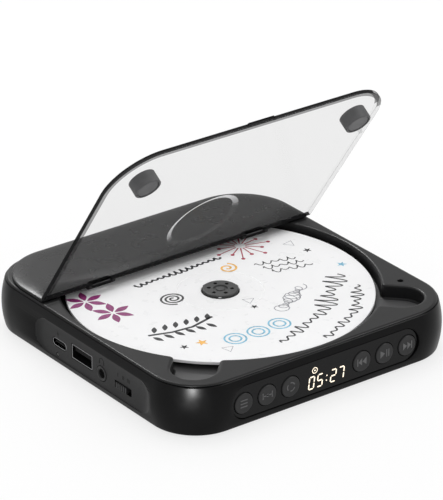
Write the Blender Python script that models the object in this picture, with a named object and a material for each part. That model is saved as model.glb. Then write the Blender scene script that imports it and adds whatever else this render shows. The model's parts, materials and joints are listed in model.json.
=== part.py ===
"""Portable CD player with a hinged smoked lid, standing open.

Metres, +Z up, front towards -Y.  The origin is under the middle of the body, on the
plane of the rubber feet.  Heights named *_level are measured from the case bottom.
"""

import math

import bmesh
import bpy
from mathutils import Matrix, Vector

# Disc, the standard size that the well, the deck and the body are drawn around
disc_radius = 0.0600
disc_clearance = 0.0023
well_margin = 0.0021
deck_step = 0.0009

# Body
bulge = 0.0015
corner_radius = 0.0190
bottom_round = 0.0008
seam_level = 0.0200
deck_level = 0.0209
wall = 0.0015
floor_thickness = 0.0016
gap = 0.0003
overrun = 0.0010

# Feet and case screws
foot_radius = 0.0050
foot_proud = 0.0008
foot_seat = 0.0005
foot_inset = 0.0173
screw_radius = 0.0010
screw_head_radius = 0.0019
screw_head_height = 0.0013
screw_sink = 0.0006
post_radius = 0.0023
front_post_x = 0.0380
front_post_inset = 0.0090
rear_post_inset = 0.0111
post_top_level = 0.0120
pilot_depth = 0.0050

# Deck and disc well
deck_rim = 0.0002
deck_thickness = 0.0016
skirt_drop = 0.0033
skirt_wall = 0.0012
well_wall = 0.0011
well_rim = 0.0012
well_rim_drop = 0.0008
well_depth = 0.0058
well_floor = 0.0013
notch_half_width = 0.0087
notch_reach = 0.0078
notch_mouth_radius = 0.0019
hub_opening_radius = 0.0165
slot_half_width = 0.0080
detect_hole_radius = 0.0012
detect_margin = 0.00745
detect_angle_deg = -33.9

# Disc and turntable
disc_thickness = 0.0012
disc_sink = 0.0025
disc_hole_radius = 0.0075
ring_radius = 0.0170
ring_height = 0.0002
ring_width = 0.0008
hub_flange_radius = 0.0150
hub_flange_thickness = 0.0012
hub_boss_radius = 0.0071
hub_rise = 0.0010
hub_dome = 0.0005
hub_groove_depth = 0.0006
hub_sleeve_radius = 0.0032
hub_sleeve_drop = 0.0030
claw_count = 3
claw_angle_deg = 30.0
claw_root = 0.0021
claw_reach = 0.0007
claw_height = 0.0005
claw_width = 0.0012
hub_hole_count = 5
hub_hole_angle_deg = 20.0
hub_hole_radius = 0.0006
hub_hole_circle = 0.0042
hub_hole_depth = 0.0008
shaft_radius = 0.0010

# Rear cover and lid hinge
cover_depth = 0.0364
cover_radius = 0.0231
cover_thickness = 0.0015
cover_round_width = 0.0050
cover_round_drop = 0.0006
cover_round_shares = (0.25, 0.6, 1.0)
hinge_reach = 0.00052
hinge_drop = 0.0010
pin_radius = 0.0005
pin_play = 0.00012
knuckle_radius = 0.0011
knuckle_half_length = 0.0045
ear_width = 0.0015
hinge_inset = 0.0272
cover_notch_depth = 0.0015
notch_play = 0.0003

# Lid
lid_overhang = 0.0005
lid_front_reach = 0.0002
lid_thickness = 0.0016
lid_corner = 0.0201
lid_rear_clearance = 0.0013
lid_edge = 0.0003
lid_open_deg = 55.6
tab_half_width = 0.0062
tab_reach = 0.0012
tab_thickness = 0.0009
recess_radius = 0.0150
recess_depth = 0.0006
recess_slope = 0.0012
bumper_radius = 0.0069
bumper_height = 0.0053
bumper_round = 0.0005
magnet_radius = 0.0052
magnet_sink = 0.0004
magnet_thickness = 0.0020
detect_pin_radius = 0.0008
detect_pin_length = 0.0030

# Front panel with six buttons and a display
panel_end_margin = 0.00145
panel_half_height = 0.00705
panel_level = 0.0101
panel_thickness = 0.0010
panel_recess = 0.0009
button_radius = 0.00415
button_level = 0.0098
button_first_x = 0.0170
button_pitch = 0.0110
buttons_per_side = 3
button_proud = 0.0005
button_cap = 0.0012
button_edge = 0.0003
plunger_radius = 0.0026
plunger_length = 0.0033
collar_radius = 0.0032
collar_thickness = 0.0006
tact_half = 0.0020
tact_height = 0.0008
tact_stem_radius = 0.0009
tact_stem_height = 0.0004
tact_play = 0.0005
board_thickness = 0.0012
button_board_margin = 0.0035
button_board_top_level = 0.0134
display_half_width = 0.0104
display_half_height = 0.0040
display_level = 0.0093

# Left side ports
port_recess_depth = 0.0012
port_recess_front_y = -0.0407
port_recess_rear_y = 0.0253
port_recess_low_level = 0.0027
port_recess_high_level = 0.0165
port_recess_corner = 0.0050
port_recess_ramp = 0.0044
metal_wall = 0.0003
socket_back = 0.0010
tongue_setback = 0.0005
usb_c_half_width = 0.00447
usb_c_half_height = 0.00163
usb_c_depth = 0.0072
usb_c_y = 0.0147
usb_c_level = 0.0092
usb_c_tongue_half_width = 0.0033
usb_c_tongue_half_height = 0.00035
usb_a_half_width = 0.0066
usb_a_half_height = 0.0029
usb_a_depth = 0.0135
usb_a_y = -0.0002
usb_a_level = 0.0098
usb_a_tongue_half_width = 0.0055
usb_a_tongue_thickness = 0.0018
jack_radius = 0.0030
jack_bore_radius = 0.0018
jack_depth = 0.0120
jack_y = -0.0131
jack_level = 0.0082
jack_proud = 0.0003
jack_chamfer = 0.0004
window_half_length = 0.0053
window_half_height = 0.0016
window_y = -0.0270
window_level = 0.0078
knob_half_length = 0.0034
knob_rest_offset = 0.0008
knob_half_height = 0.0013
knob_proud = 0.0006
knob_collar_half_height = 0.0023
knob_collar_thickness = 0.0006
knob_rib_count = 4
knob_rib_depth = 0.0003
knob_rib_width = 0.0006
switch_body_depth = 0.0040
lamp_radius = 0.0006
lamp_length = 0.0026
lamp_y = 0.0159
lamp_level = 0.0042

# Drive mechanism, hung under the well on a plate with four rubber dampers
plate_level = 0.0106
plate_thickness = 0.0012
plate_low_x = -0.0240
plate_low_y = -0.0240
plate_high_y = 0.0385
plate_corner = 0.0040
damper_side_inset = 0.0050
damper_end_inset = 0.0060
damper_front_inset = 0.0045
damper_radius = 0.0032
damper_neck_radius = 0.0019
damper_flange = 0.0010
damper_bore = 0.0012
damper_pin_radius = 0.0009
damper_post_radius = 0.0026
motor_radius = 0.0110
motor_height = 0.0052
motor_step_radius = 0.0050
motor_step_height = 0.0004
rod_radius = 0.0010
rod_inset = 0.0024
rod_level = 0.0086
bracket_half_width = 0.0018
bracket_thickness = 0.0014
bracket_low_x = 0.0092
sled_low_x = 0.0138
sled_end_play = 0.0004
disc_border = 0.0040
sled_half_width = 0.0154
sled_thickness = 0.0036
sled_level = 0.0066
lens_x = 0.0230
lens_radius = 0.0034
lens_base_radius = 0.0045
lens_base_height = 0.0016
lens_top_level = 0.0152
lens_dome = 0.0004

# Feed gearing between the sled's rack and the feed motor
gear_module = 0.0006
pressure_deg = 20.0
backlash = 0.00016
addendum_share = 0.85
dedendum_share = 1.20
pinion_teeth = 10
small_gear_teeth = 14
large_gear_teeth = 32
rack_teeth = 21
rack_height = 0.0024
rack_level = 0.0070
rack_back = 0.0006
rack_end_x = 0.0245
large_gear_level = 0.0053
large_gear_thickness = 0.0010
stud_radius = 0.0008
feed_motor_radius = 0.0045
feed_motor_angle_deg = 58.0
pinion_shaft_radius = 0.0006
pinion_shaft_length = 0.0020

# Electronics and battery
main_board_level = 0.0026
main_board_left_inset = 0.0028
main_board_right_inset = 0.0193
main_board_front_inset = 0.0153
main_board_high_y = 0.0340
main_board_corner = 0.0020
standoff_radius = 0.0022
standoff_inset = 0.0040
chip_half = 0.0060
chip_height = 0.0010
chip_x = -0.0330
chip_y = -0.0330
battery_high_x = 0.0180
battery_end_gap = 0.0099
battery_front_gap = 0.0055
battery_wall_gap = 0.0038
battery_height = 0.0070
battery_corner = 0.0020
lid_switch_half_width = 0.0020
lid_switch_length = 0.0036
lid_switch_height = 0.0040
lid_switch_lever = 0.0030
lid_switch_lever_thickness = 0.0004
lid_switch_offset = 0.0019

# Looks: colour, roughness, metallic and alpha
case_plastic = ((0.030, 0.030, 0.031), 0.38, 0.0, 1.0)
deck_plastic = ((0.070, 0.070, 0.072), 0.45, 0.0, 1.0)
gloss_black = ((0.012, 0.012, 0.013), 0.15, 0.0, 1.0)
satin_black = ((0.030, 0.030, 0.031), 0.40, 0.0, 1.0)
smoked_acrylic = ((0.20, 0.20, 0.21), 0.08, 0.0, 0.35)
bright_metal = ((0.62, 0.62, 0.64), 0.25, 1.0, 1.0)
soft_rubber = ((0.035, 0.035, 0.035), 0.80, 0.0, 1.0)
gear_plastic = ((0.75, 0.75, 0.72), 0.50, 0.0, 1.0)
board_green = ((0.02, 0.12, 0.06), 0.50, 0.0, 1.0)
disc_white = ((0.85, 0.85, 0.86), 0.25, 0.0, 1.0)
lamp_clear = ((0.80, 0.80, 0.80), 0.20, 0.0, 1.0)
cell_wrap = ((0.45, 0.46, 0.48), 0.50, 0.0, 1.0)

# Facets
sharp_deg = 32.0
corner_steps = 6
well_steps = 48
notch_steps = 8
mouth_steps = 2
disc_steps = 48
round_steps = 16
small_steps = 12
hole_steps = 8
bulge_steps = 6

# Sizes and places that follow from those above
well_radius = disc_radius + disc_clearance
deck_half = well_radius + well_margin
body_half = deck_half + deck_step
inner_half = body_half - wall
inner_corner = corner_radius - wall
foot_place = body_half - foot_inset
front_post_y = body_half - front_post_inset
rear_post_place = body_half - rear_post_inset
notch_end_distance = well_radius + notch_reach
detect_x = (well_radius + detect_margin) * math.cos(math.radians(detect_angle_deg))
detect_y = (well_radius + detect_margin) * math.sin(math.radians(detect_angle_deg))
cover_front_y = deck_half - cover_depth
hinge_y = cover_front_y - hinge_reach
hinge_place = deck_half - hinge_inset
lid_half = deck_half + lid_overhang
lid_front_y = -lid_half - lid_front_reach
button_last_x = button_first_x + (buttons_per_side - 1) * button_pitch
panel_half_length = button_last_x + button_radius + panel_end_margin
button_board_half_length = button_last_x + tact_half + button_board_margin
rod_spread = sled_half_width - rod_inset
sled_high_x = lens_x + lens_base_radius - gap
sled_travel = disc_radius - disc_border - lens_x
laser_slot_end_x = lens_x + sled_travel + lens_base_radius
plate_high_x = sled_high_x + sled_travel + sled_end_play + bracket_thickness
damper_low_x = plate_low_x + damper_side_inset
damper_high_x = plate_high_x - damper_end_inset
damper_low_y = plate_low_y + damper_front_inset
damper_high_y = plate_high_y - damper_side_inset
main_board_low_x = main_board_left_inset - body_half
main_board_high_x = body_half - main_board_right_inset
main_board_low_y = main_board_front_inset - body_half
battery_low_x = post_radius + battery_end_gap - rear_post_place
battery_low_y = damper_high_y + battery_front_gap
battery_high_y = inner_half - battery_wall_gap

# Levels and faces
well_floor_level = deck_level - well_depth
well_bottom_level = well_floor_level - well_floor
disc_top_level = deck_level - disc_sink
disc_bottom_level = disc_top_level - disc_thickness
cover_bottom_level = deck_level + gap
cover_top_level = cover_bottom_level + cover_thickness
hinge_level = cover_top_level - hinge_drop
panel_face_y = -(body_half + bulge - panel_recess)
panel_bed_y = panel_face_y + panel_thickness + gap
port_face_x = -(body_half + bulge - port_recess_depth)
board_front_y = -inner_half + gap + plunger_length
notch_angles_deg = {"left": 225.0, "right": 315.0}


def height(level):
    """World height of a level measured from the case bottom."""
    return level + foot_proud


def clear_scene():
    for item in list(bpy.data.objects):
        bpy.data.objects.remove(item, do_unlink=True)


def finish(name, look):
    """The object's own Principled material."""
    colour, roughness, metallic, alpha = look
    material = bpy.data.materials.new(name)
    material.use_nodes = True
    shader = material.node_tree.nodes["Principled BSDF"]
    shader.inputs["Base Color"].default_value = (*colour, 1.0)
    shader.inputs["Roughness"].default_value = roughness
    shader.inputs["Metallic"].default_value = metallic
    shader.inputs["Alpha"].default_value = alpha
    return material


def arc(centre_x, centre_y, radius, start_deg, end_deg, steps):
    """Points along an arc, both ends included."""
    points = []
    for step in range(steps + 1):
        angle = math.radians(start_deg + (end_deg - start_deg) * step / steps)
        points.append((centre_x + radius * math.cos(angle), centre_y + radius * math.sin(angle)))
    return points


def circle(radius, steps, centre_x=0.0, centre_y=0.0):
    return arc(centre_x, centre_y, radius, 0.0, 360.0, steps)[:-1]


def rounded_rectangle(low_x, high_x, low_y, high_y, radius, steps=corner_steps):
    """Anticlockwise outline of a rectangle with round corners."""
    points = arc(high_x - radius, high_y - radius, radius, 0.0, 90.0, steps)
    points += arc(low_x + radius, high_y - radius, radius, 90.0, 180.0, steps)
    points += arc(low_x + radius, low_y + radius, radius, 180.0, 270.0, steps)
    points += arc(high_x - radius, low_y + radius, radius, 270.0, 360.0, steps)
    return points


def square_outline(half, radius):
    return rounded_rectangle(-half, half, -half, half, radius)


def rectangle(low_x, high_x, low_y, high_y):
    return [(low_x, low_y), (high_x, low_y), (high_x, high_y), (low_x, high_y)]


def stadium(half_length, half_height, centre_u, centre_v, steps=round_steps // 2):
    """Outline with two half-round ends, long along the first coordinate."""
    reach = half_length - half_height
    points = arc(centre_u + reach, centre_v, half_height, -90.0, 90.0, steps)
    points += arc(centre_u - reach, centre_v, half_height, 90.0, 270.0, steps)
    return points


def place(u, v, w, axis):
    """Turns an outline point and a distance along the axis into a point in space."""
    if axis == "X":
        return (w, u, v)
    if axis == "Y":
        return (u, w, v)
    return (u, v, w)


def skin(rings):
    """Closed skin through rings that all have the same number of points."""
    count = len(rings[0])
    points = [point for ring in rings for point in ring]
    faces = [list(range(count - 1, -1, -1))]
    for level in range(len(rings) - 1):
        low = level * count
        for index in range(count):
            following = (index + 1) % count
            faces.append([low + index, low + following, low + count + following, low + count + index])
    last = (len(rings) - 1) * count
    faces.append(list(range(last, last + count)))
    return points, faces


def loft(outlines, axis="Z"):
    """Skin through (outline, distance) pairs."""
    return skin([[place(u, v, distance, axis) for u, v in outline] for outline, distance in outlines])


def prism(outline, low, high, axis="Z"):
    return loft([(outline, low), (outline, high)], axis)


def turned(profile, steps, centre_u=0.0, centre_v=0.0, axis="Z"):
    """Solid of revolution from (radius, distance) points; radius 0 closes an end."""
    points = []
    rows = []
    for radius, distance in profile:
        if radius == 0:
            rows.append([len(points)])
            points.append(place(centre_u, centre_v, distance, axis))
            continue
        rows.append(list(range(len(points), len(points) + steps)))
        for u, v in circle(radius, steps, centre_u, centre_v):
            points.append(place(u, v, distance, axis))
    solid_ends = len(rows[0]) == 1
    pairs = list(zip(rows, rows[1:]))
    if not solid_ends:
        pairs.append((rows[-1], rows[0]))
    faces = []
    for low, high in pairs:
        for index in range(steps):
            following = (index + 1) % steps
            corners = [low[index % len(low)], low[following % len(low)],
                       high[following % len(high)], high[index % len(high)]]
            faces.append(list(dict.fromkeys(corners)))
    return points, faces


def make(name, shapes, look=None, at=(0.0, 0.0, 0.0)):
    """One object from one or more closed shapes; without a look it is a tool that cuts or joins."""
    points = []
    faces = []
    for shape_points, shape_faces in shapes:
        start = len(points)
        points += shape_points
        faces += [[start + index for index in face] for face in shape_faces]
    mesh = bpy.data.meshes.new(name)
    mesh.from_pydata([Vector(point) for point in points], [], faces)
    work = bmesh.new()
    work.from_mesh(mesh)
    bmesh.ops.recalc_face_normals(work, faces=work.faces)
    work.to_mesh(mesh)
    work.free()
    item = bpy.data.objects.new(name, mesh)
    item.location = at
    bpy.context.scene.collection.objects.link(item)
    if look:
        mesh.materials.append(finish(name, look))
        mesh.shade_smooth()
        mesh.set_sharp_from_angle(angle=math.radians(sharp_deg))
    else:
        item.hide_render = True
        item.display_type = "WIRE"
    return item


def boolean(item, name, shapes, operation="DIFFERENCE"):
    """Cuts shapes out of an object, or joins them to it, with a live modifier."""
    tool = make(name, shapes, at=item.location)
    modifier = item.modifiers.new(name, "BOOLEAN")
    modifier.operation = operation
    modifier.solver = "EXACT"
    modifier.object = tool


def cut(item, name, shapes):
    boolean(item, name, shapes)


def add(item, name, shapes):
    boolean(item, name, shapes, "UNION")


def side_half(level):
    """Half width of the bulged case at a level."""
    share = level / seam_level
    return body_half + bulge * (1.0 - (2.0 * share - 1.0) ** 2)


def case_ring(level, inset=0.0):
    half = side_half(level) - inset
    return square_outline(half, corner_radius + half - body_half), height(level)


def post_places():
    places = [(side * front_post_x, -front_post_y) for side in (-1, 1)]
    return places + [(side * rear_post_place, rear_post_place) for side in (-1, 1)]


def damper_places():
    return [(x, y) for x in (damper_low_x, damper_high_x) for y in (damper_low_y, damper_high_y)]


def button_places():
    """Button centres from left to right."""
    right = [button_first_x + index * button_pitch for index in range(buttons_per_side)]
    return [-x for x in reversed(right)] + right


def board_corners():
    lows = (main_board_low_x + standoff_inset, main_board_low_y + standoff_inset)
    highs = (main_board_high_x - standoff_inset, main_board_high_y - standoff_inset)
    return [(x, y) for x in (lows[0], highs[0]) for y in (lows[1], highs[1])]


def port_openings():
    """Openings of the ports through the left wall, each a clearance larger than its piece."""
    low = port_face_x - overrun
    high = -inner_half + overrun
    usb_c = stadium(usb_c_half_width + gap, usb_c_half_height + gap, usb_c_y, height(usb_c_level))
    usb_a = rectangle(usb_a_y - usb_a_half_width - gap, usb_a_y + usb_a_half_width + gap,
                      height(usb_a_level) - usb_a_half_height - gap,
                      height(usb_a_level) + usb_a_half_height + gap)
    window = rectangle(window_y - window_half_length, window_y + window_half_length,
                       height(window_level) - window_half_height,
                       height(window_level) + window_half_height)
    jack = circle(jack_radius + gap, small_steps, jack_y, height(jack_level))
    lamp = circle(lamp_radius + gap, small_steps, lamp_y, height(lamp_level))
    return [prism(outline, low, high, "X") for outline in (usb_c, usb_a, window, jack, lamp)]


def port_recess():
    """Flat for the sockets, with a ramp at each end out to the bulged wall."""
    outside = port_face_x - port_recess_depth - overrun
    far_spread = port_recess_ramp * (1.0 + overrun / port_recess_depth)
    outlines = []
    for x, spread in ((outside, far_spread), (port_face_x, 0.0)):
        outlines.append((rounded_rectangle(port_recess_front_y - spread, port_recess_rear_y + spread,
                                           height(port_recess_low_level), height(port_recess_high_level),
                                           port_recess_corner), x))
    return loft(outlines, "X")


def lower_housing():
    """The bulged tub that carries everything: posts, standoffs and openings moulded in."""
    levels = [seam_level * step / bulge_steps for step in range(1, bulge_steps + 1)]
    rings = [case_ring(0.0, bottom_round), case_ring(bottom_round)]
    rings += [case_ring(level) for level in levels]
    item = make("lower_housing", [loft(rings)], case_plastic)
    cavity = prism(square_outline(inner_half, inner_corner), height(floor_thickness),
                   height(seam_level) + overrun)
    cut(item, "tool_housing_cavity", [cavity])
    outside = -(body_half + bulge + overrun)
    pocket = stadium(panel_half_length, panel_half_height, 0.0, height(panel_level))
    cut(item, "tool_panel_pocket", [prism(pocket, outside, panel_bed_y, "Y")])
    holes = [circle(plunger_radius + gap, small_steps, x, height(button_level)) for x in button_places()]
    holes.append(rectangle(-display_half_width - gap, display_half_width + gap,
                           height(display_level) - display_half_height - gap,
                           height(display_level) + display_half_height + gap))
    cut(item, "tool_panel_holes",
        [prism(hole, panel_bed_y - overrun, -inner_half + overrun, "Y") for hole in holes])
    cut(item, "tool_port_recess", [port_recess()])
    cut(item, "tool_port_openings", port_openings())
    root = height(floor_thickness) - overrun
    posts = [prism(circle(post_radius, small_steps, x, y), root, height(post_top_level))
             for x, y in post_places()]
    for x, y in damper_places():
        shoulder = height(plate_level) - gap - damper_flange - gap
        posts.append(turned([(0, root), (damper_post_radius, root), (damper_post_radius, shoulder),
                             (damper_pin_radius, shoulder),
                             (damper_pin_radius, shoulder + plate_thickness + 2 * damper_flange + gap),
                             (0, shoulder + plate_thickness + 2 * damper_flange + gap)],
                            small_steps, x, y))
    posts += [prism(circle(standoff_radius, small_steps, x, y), root, height(main_board_level) - gap)
              for x, y in board_corners()]
    add(item, "tool_housing_posts", posts)
    bores = []
    for x, y in post_places():
        bores.append(turned([(0, height(0) - overrun), (screw_head_radius + gap, height(0) - overrun),
                             (screw_head_radius + gap, height(screw_sink) + screw_head_height),
                             (screw_radius + gap, height(screw_sink) + screw_head_height),
                             (screw_radius + gap, height(post_top_level) + overrun),
                             (0, height(post_top_level) + overrun)], small_steps, x, y))
    cut(item, "tool_screw_bores", bores)
    seats = [prism(circle(foot_radius + gap, round_steps, x, y), height(0) - overrun, height(foot_seat))
             for x, y in foot_places()]
    cut(item, "tool_foot_seats", seats)


def foot_places():
    return [(x, y) for x in (-foot_place, foot_place) for y in (-foot_place, foot_place)]


def rubber_feet():
    names = ("foot_front_left", "foot_rear_left", "foot_front_right", "foot_rear_right")
    for name, (x, y) in zip(names, foot_places()):
        profile = [(0, 0), (foot_radius - gap, 0), (foot_radius, gap),
                   (foot_radius, height(foot_seat) - gap), (0, height(foot_seat) - gap)]
        make(name, [turned(profile, round_steps)], soft_rubber, (x, y, 0.0))


def case_screws():
    names = ("case_screw_front_left", "case_screw_front_right",
             "case_screw_rear_left", "case_screw_rear_right")
    head = height(screw_sink)
    tip = height(post_top_level) + pilot_depth - gap
    for name, (x, y) in zip(names, post_places()):
        profile = [(0, head), (screw_head_radius, head),
                   (screw_head_radius, head + screw_head_height - gap),
                   (screw_radius, head + screw_head_height - gap), (screw_radius, tip), (0, tip)]
        make(name, [turned(profile, small_steps)], bright_metal, (x, y, 0.0))


def notch_outline(radius, half, mouth):
    """One slot along +X with round end and mouth, and the angle at which it leaves the well."""
    mouth_x = math.sqrt((radius + mouth) ** 2 - (half + mouth) ** 2)
    spread = math.degrees(math.atan2(half + mouth, mouth_x))
    points = arc(mouth_x, -half - mouth, mouth, 180.0 - spread, 90.0, mouth_steps)
    points += arc(notch_end_distance, 0.0, half, -90.0, 90.0, notch_steps)
    points += arc(mouth_x, half + mouth, mouth, 270.0, 180.0 + spread, mouth_steps)
    return points, spread


def well_outline(offset=0.0):
    """Round well with a rounded slot on each front diagonal, grown by an offset."""
    radius = well_radius + offset
    notch, spread = notch_outline(radius, notch_half_width + offset, notch_mouth_radius - offset)
    points = []
    start = notch_angles_deg["right"] + spread - 360.0
    for angle in notch_angles_deg.values():
        steps = round(well_steps * (angle - spread - start) / 360.0)
        points += arc(0.0, 0.0, radius, start, angle - spread, steps)[1:-1]
        turn = Matrix.Rotation(math.radians(angle), 2)
        points += [tuple(turn @ Vector(point)) for point in notch]
        start = angle + spread
    return points


def keyhole():
    """Opening in the well floor for the turntable and the laser's path."""
    spread = math.degrees(math.asin(slot_half_width / hub_opening_radius))
    points = arc(0.0, 0.0, hub_opening_radius, spread, 360.0 - spread, round_steps)
    return points + [(laser_slot_end_x, -slot_half_width), (laser_slot_end_x, slot_half_width)]


def deck_frame():
    """Top moulding: flat deck, locating skirt, and the disc well with its two finger slots."""
    skirt_half = inner_half - gap
    skirt_corner = inner_corner - gap
    rim_half = deck_half + deck_level - seam_level - deck_rim
    rim_low = seam_level + gap
    low = height(deck_level - skirt_drop)
    rings = [(square_outline(skirt_half, skirt_corner), low),
             (square_outline(skirt_half, skirt_corner), height(rim_low)),
             (square_outline(rim_half, corner_radius), height(rim_low)),
             (square_outline(rim_half, corner_radius), height(rim_low + deck_rim)),
             (square_outline(deck_half, corner_radius + deck_half - rim_half), height(deck_level))]
    item = make("deck_frame", [loft(rings)], deck_plastic)
    hollow = square_outline(skirt_half - skirt_wall, skirt_corner - skirt_wall)
    under = height(deck_level - deck_thickness)
    cut(item, "tool_deck_hollow", [prism(hollow, low - overrun, under)])
    bosses = [prism(circle(post_radius, small_steps, x, y), height(post_top_level) + gap, under + gap)
              for x, y in post_places()]
    tub = prism(well_outline(well_wall), height(well_bottom_level), under + gap)
    add(item, "tool_well_wall", [tub])
    add(item, "tool_deck_bosses", bosses)
    floor_z = height(well_floor_level)
    rim_z = height(deck_level)
    well = loft([(well_outline(), floor_z), (well_outline(), rim_z - well_rim_drop),
                 (well_outline(well_rim), rim_z + gap)])
    cut(item, "tool_well", [well])
    cut(item, "tool_well_keyhole", [prism(keyhole(), height(well_bottom_level) - overrun, floor_z + overrun)])
    pilot = [prism(circle(screw_radius + pin_play, small_steps, x, y), height(post_top_level) - overrun,
                   height(post_top_level) + gap + pilot_depth) for x, y in post_places()]
    detect = circle(detect_hole_radius, small_steps, detect_x, detect_y)
    cut(item, "tool_deck_holes", pilot + [prism(detect, under - overrun, rim_z + overrun)])


def cover_outline(inset):
    """The rear cover's plan: square at the hinge line, round at the back."""
    half = deck_half - inset
    radius = cover_radius - inset / 2.0
    points = [(-half, cover_front_y), (half, cover_front_y)]
    points += arc(half - radius, half - radius, radius, 0.0, 90.0, 2 * corner_steps)
    points += arc(radius - half, half - radius, radius, 90.0, 180.0, 2 * corner_steps)
    return points


def hinge_sides():
    return (("left", -1), ("right", 1))


def rear_cover():
    """Fixed cover over the back of the well, with a notch and two ears at each hinge."""
    rings = [(cover_outline(0.0), height(cover_bottom_level)),
             (cover_outline(0.0), height(cover_top_level) - cover_round_drop)]
    for share in cover_round_shares:
        fall = cover_round_drop * (1.0 - share) ** 2
        rings.append((cover_outline(cover_round_width * share), height(cover_top_level) - fall))
    item = make("rear_cover", [loft(rings)], deck_plastic)
    inner = knuckle_half_length + notch_play
    outer = inner + ear_width
    notches = []
    ears = []
    holes = []
    back_y = cover_front_y + cover_notch_depth
    hinge_z = height(hinge_level)
    for _side, sign in hinge_sides():
        centre = sign * hinge_place
        notches.append(prism(rectangle(centre - outer, centre + outer, cover_front_y - overrun, back_y),
                             height(cover_bottom_level) - overrun, height(cover_top_level) + overrun))
        for end in (-1, 1):
            low = min(centre + end * inner, centre + end * outer)
            high = max(centre + end * inner, centre + end * outer)
            nose = arc(hinge_y, hinge_z, knuckle_radius, 90.0, 270.0, notch_steps)
            nose.append((back_y + gap, height(cover_bottom_level)))
            nose.append((back_y + gap, height(cover_top_level) - gap))
            ears.append(prism(nose, low, high, "X"))
            holes.append(prism(circle(pin_radius + pin_play, small_steps, hinge_y, hinge_z),
                               low - overrun / 4, high + overrun / 4, "X"))
    cut(item, "tool_cover_notches", notches)
    add(item, "tool_cover_ears", ears)
    cut(item, "tool_cover_pin_holes", holes)


def hinge_pins():
    for side, sign in hinge_sides():
        reach = knuckle_half_length + notch_play + ear_width - gap
        make("hinge_pin_" + side, [prism(circle(pin_radius, small_steps), -reach, reach, "X")],
             bright_metal, (sign * hinge_place, hinge_y, height(hinge_level)))


def lid_hinge():
    """Empty on the hinge line; the lid's pieces are modelled closed around it."""
    empty = bpy.data.objects.new("lid_hinge", None)
    bpy.context.scene.collection.objects.link(empty)
    empty.location = (0.0, hinge_y, height(hinge_level))
    empty.rotation_euler = (-math.radians(lid_open_deg), 0.0, 0.0)
    bpy.context.view_layer.update()
    return empty


def hang(item, parent):
    """Parents a piece, and the tools that shape it, to the lid's hinge."""
    tools = [modifier.object for modifier in item.modifiers if modifier.type == "BOOLEAN"]
    for thing in [item] + tools:
        thing.parent = parent
        thing.matrix_parent_inverse = Matrix.Identity(4)


def lid_outline(inset):
    """Plan of the closed lid, from the hinge line: round at the front only."""
    half = lid_half - inset
    front = lid_front_y - hinge_y + inset
    radius = lid_corner - inset
    points = arc(radius - half, front + radius, radius, 180.0, 270.0, 2 * corner_steps)
    points += arc(half - radius, front + radius, radius, 270.0, 360.0, 2 * corner_steps)
    points += [(half, -lid_rear_clearance), (-half, -lid_rear_clearance)]
    return points


def lid_panel(parent):
    """Smoked lid: flat panel, pull tab, hub recess, hinge knuckles and switch pin."""
    top = hinge_drop
    under = top - lid_thickness
    rings = [(lid_outline(lid_edge), under), (lid_outline(0.0), under + lid_edge),
             (lid_outline(0.0), top - lid_edge), (lid_outline(lid_edge), top)]
    item = make("lid_panel", [loft(rings)], smoked_acrylic)
    spread = recess_slope / recess_depth * overrun
    recess = [(0, under - overrun), (recess_radius + spread, under - overrun),
              (recess_radius - recess_slope, under + recess_depth), (0, under + recess_depth)]
    cut(item, "tool_lid_recess", [turned(recess, 2 * round_steps, 0.0, -hinge_y)])
    front = lid_front_y - hinge_y
    tab = rounded_rectangle(-tab_half_width, tab_half_width, front - tab_reach, front + overrun,
                            tab_reach / 2.0, 3)
    middle = (top + under) / 2.0
    extras = [prism(tab, middle - tab_thickness / 2.0, middle + tab_thickness / 2.0)]
    for _side, sign in hinge_sides():
        low = sign * hinge_place - knuckle_half_length
        high = sign * hinge_place + knuckle_half_length
        root = -lid_rear_clearance - overrun
        arm = arc(0.0, 0.0, knuckle_radius, -90.0, 90.0, notch_steps)
        arm += [(root, top - lid_edge), (root, under + lid_edge)]
        extras.append(prism(arm, low, high, "X"))
    pin = circle(detect_pin_radius, small_steps, detect_x, detect_y - hinge_y)
    extras.append(prism(pin, under - detect_pin_length, under + gap))
    add(item, "tool_lid_extras", extras)
    bores = []
    for _side, sign in hinge_sides():
        low = sign * hinge_place - knuckle_half_length - overrun
        high = sign * hinge_place + knuckle_half_length + overrun
        bores.append(prism(circle(pin_radius + pin_play, small_steps, 0.0, 0.0), low, high, "X"))
    cut(item, "tool_lid_bores", bores)
    hang(item, parent)


def bumper_place(side):
    """Centre of a bumper on the closed lid, over its slot in the deck, from the hinge line."""
    angle = math.radians(notch_angles_deg[side])
    return notch_end_distance * math.cos(angle), notch_end_distance * math.sin(angle) - hinge_y, 0.0


def lid_bumpers(parent):
    """Round bumpers that drop into the two slots and hold the lid shut with magnets."""
    for side in notch_angles_deg:
        seat = hinge_drop - lid_thickness - gap
        end = seat - bumper_height
        socket = end + magnet_sink + magnet_thickness + gap
        profile = [(0, seat), (bumper_radius, seat), (bumper_radius, end + bumper_round),
                   (bumper_radius - bumper_round, end), (magnet_radius + gap, end),
                   (magnet_radius + gap, socket), (0, socket)]
        bumper = make("lid_bumper_" + side, [turned(profile, round_steps)], soft_rubber, bumper_place(side))
        low = end + magnet_sink
        disc = [(0, low), (magnet_radius, low), (magnet_radius, low + magnet_thickness),
                (0, low + magnet_thickness)]
        magnet = make("lid_magnet_" + side, [turned(disc, round_steps)], bright_metal, bumper_place(side))
        hang(bumper, parent)
        hang(magnet, parent)


def front_panel():
    """Gloss panel set into the front wall, pierced for the buttons."""
    outline = stadium(panel_half_length - gap, panel_half_height - gap, 0.0, height(panel_level))
    item = make("front_panel", [prism(outline, panel_face_y, panel_face_y + panel_thickness, "Y")],
                gloss_black)
    holes = [circle(button_radius + gap, round_steps, x, height(button_level)) for x in button_places()]
    cut(item, "tool_button_holes",
        [prism(hole, panel_face_y - overrun, panel_bed_y + overrun, "Y") for hole in holes])


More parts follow.
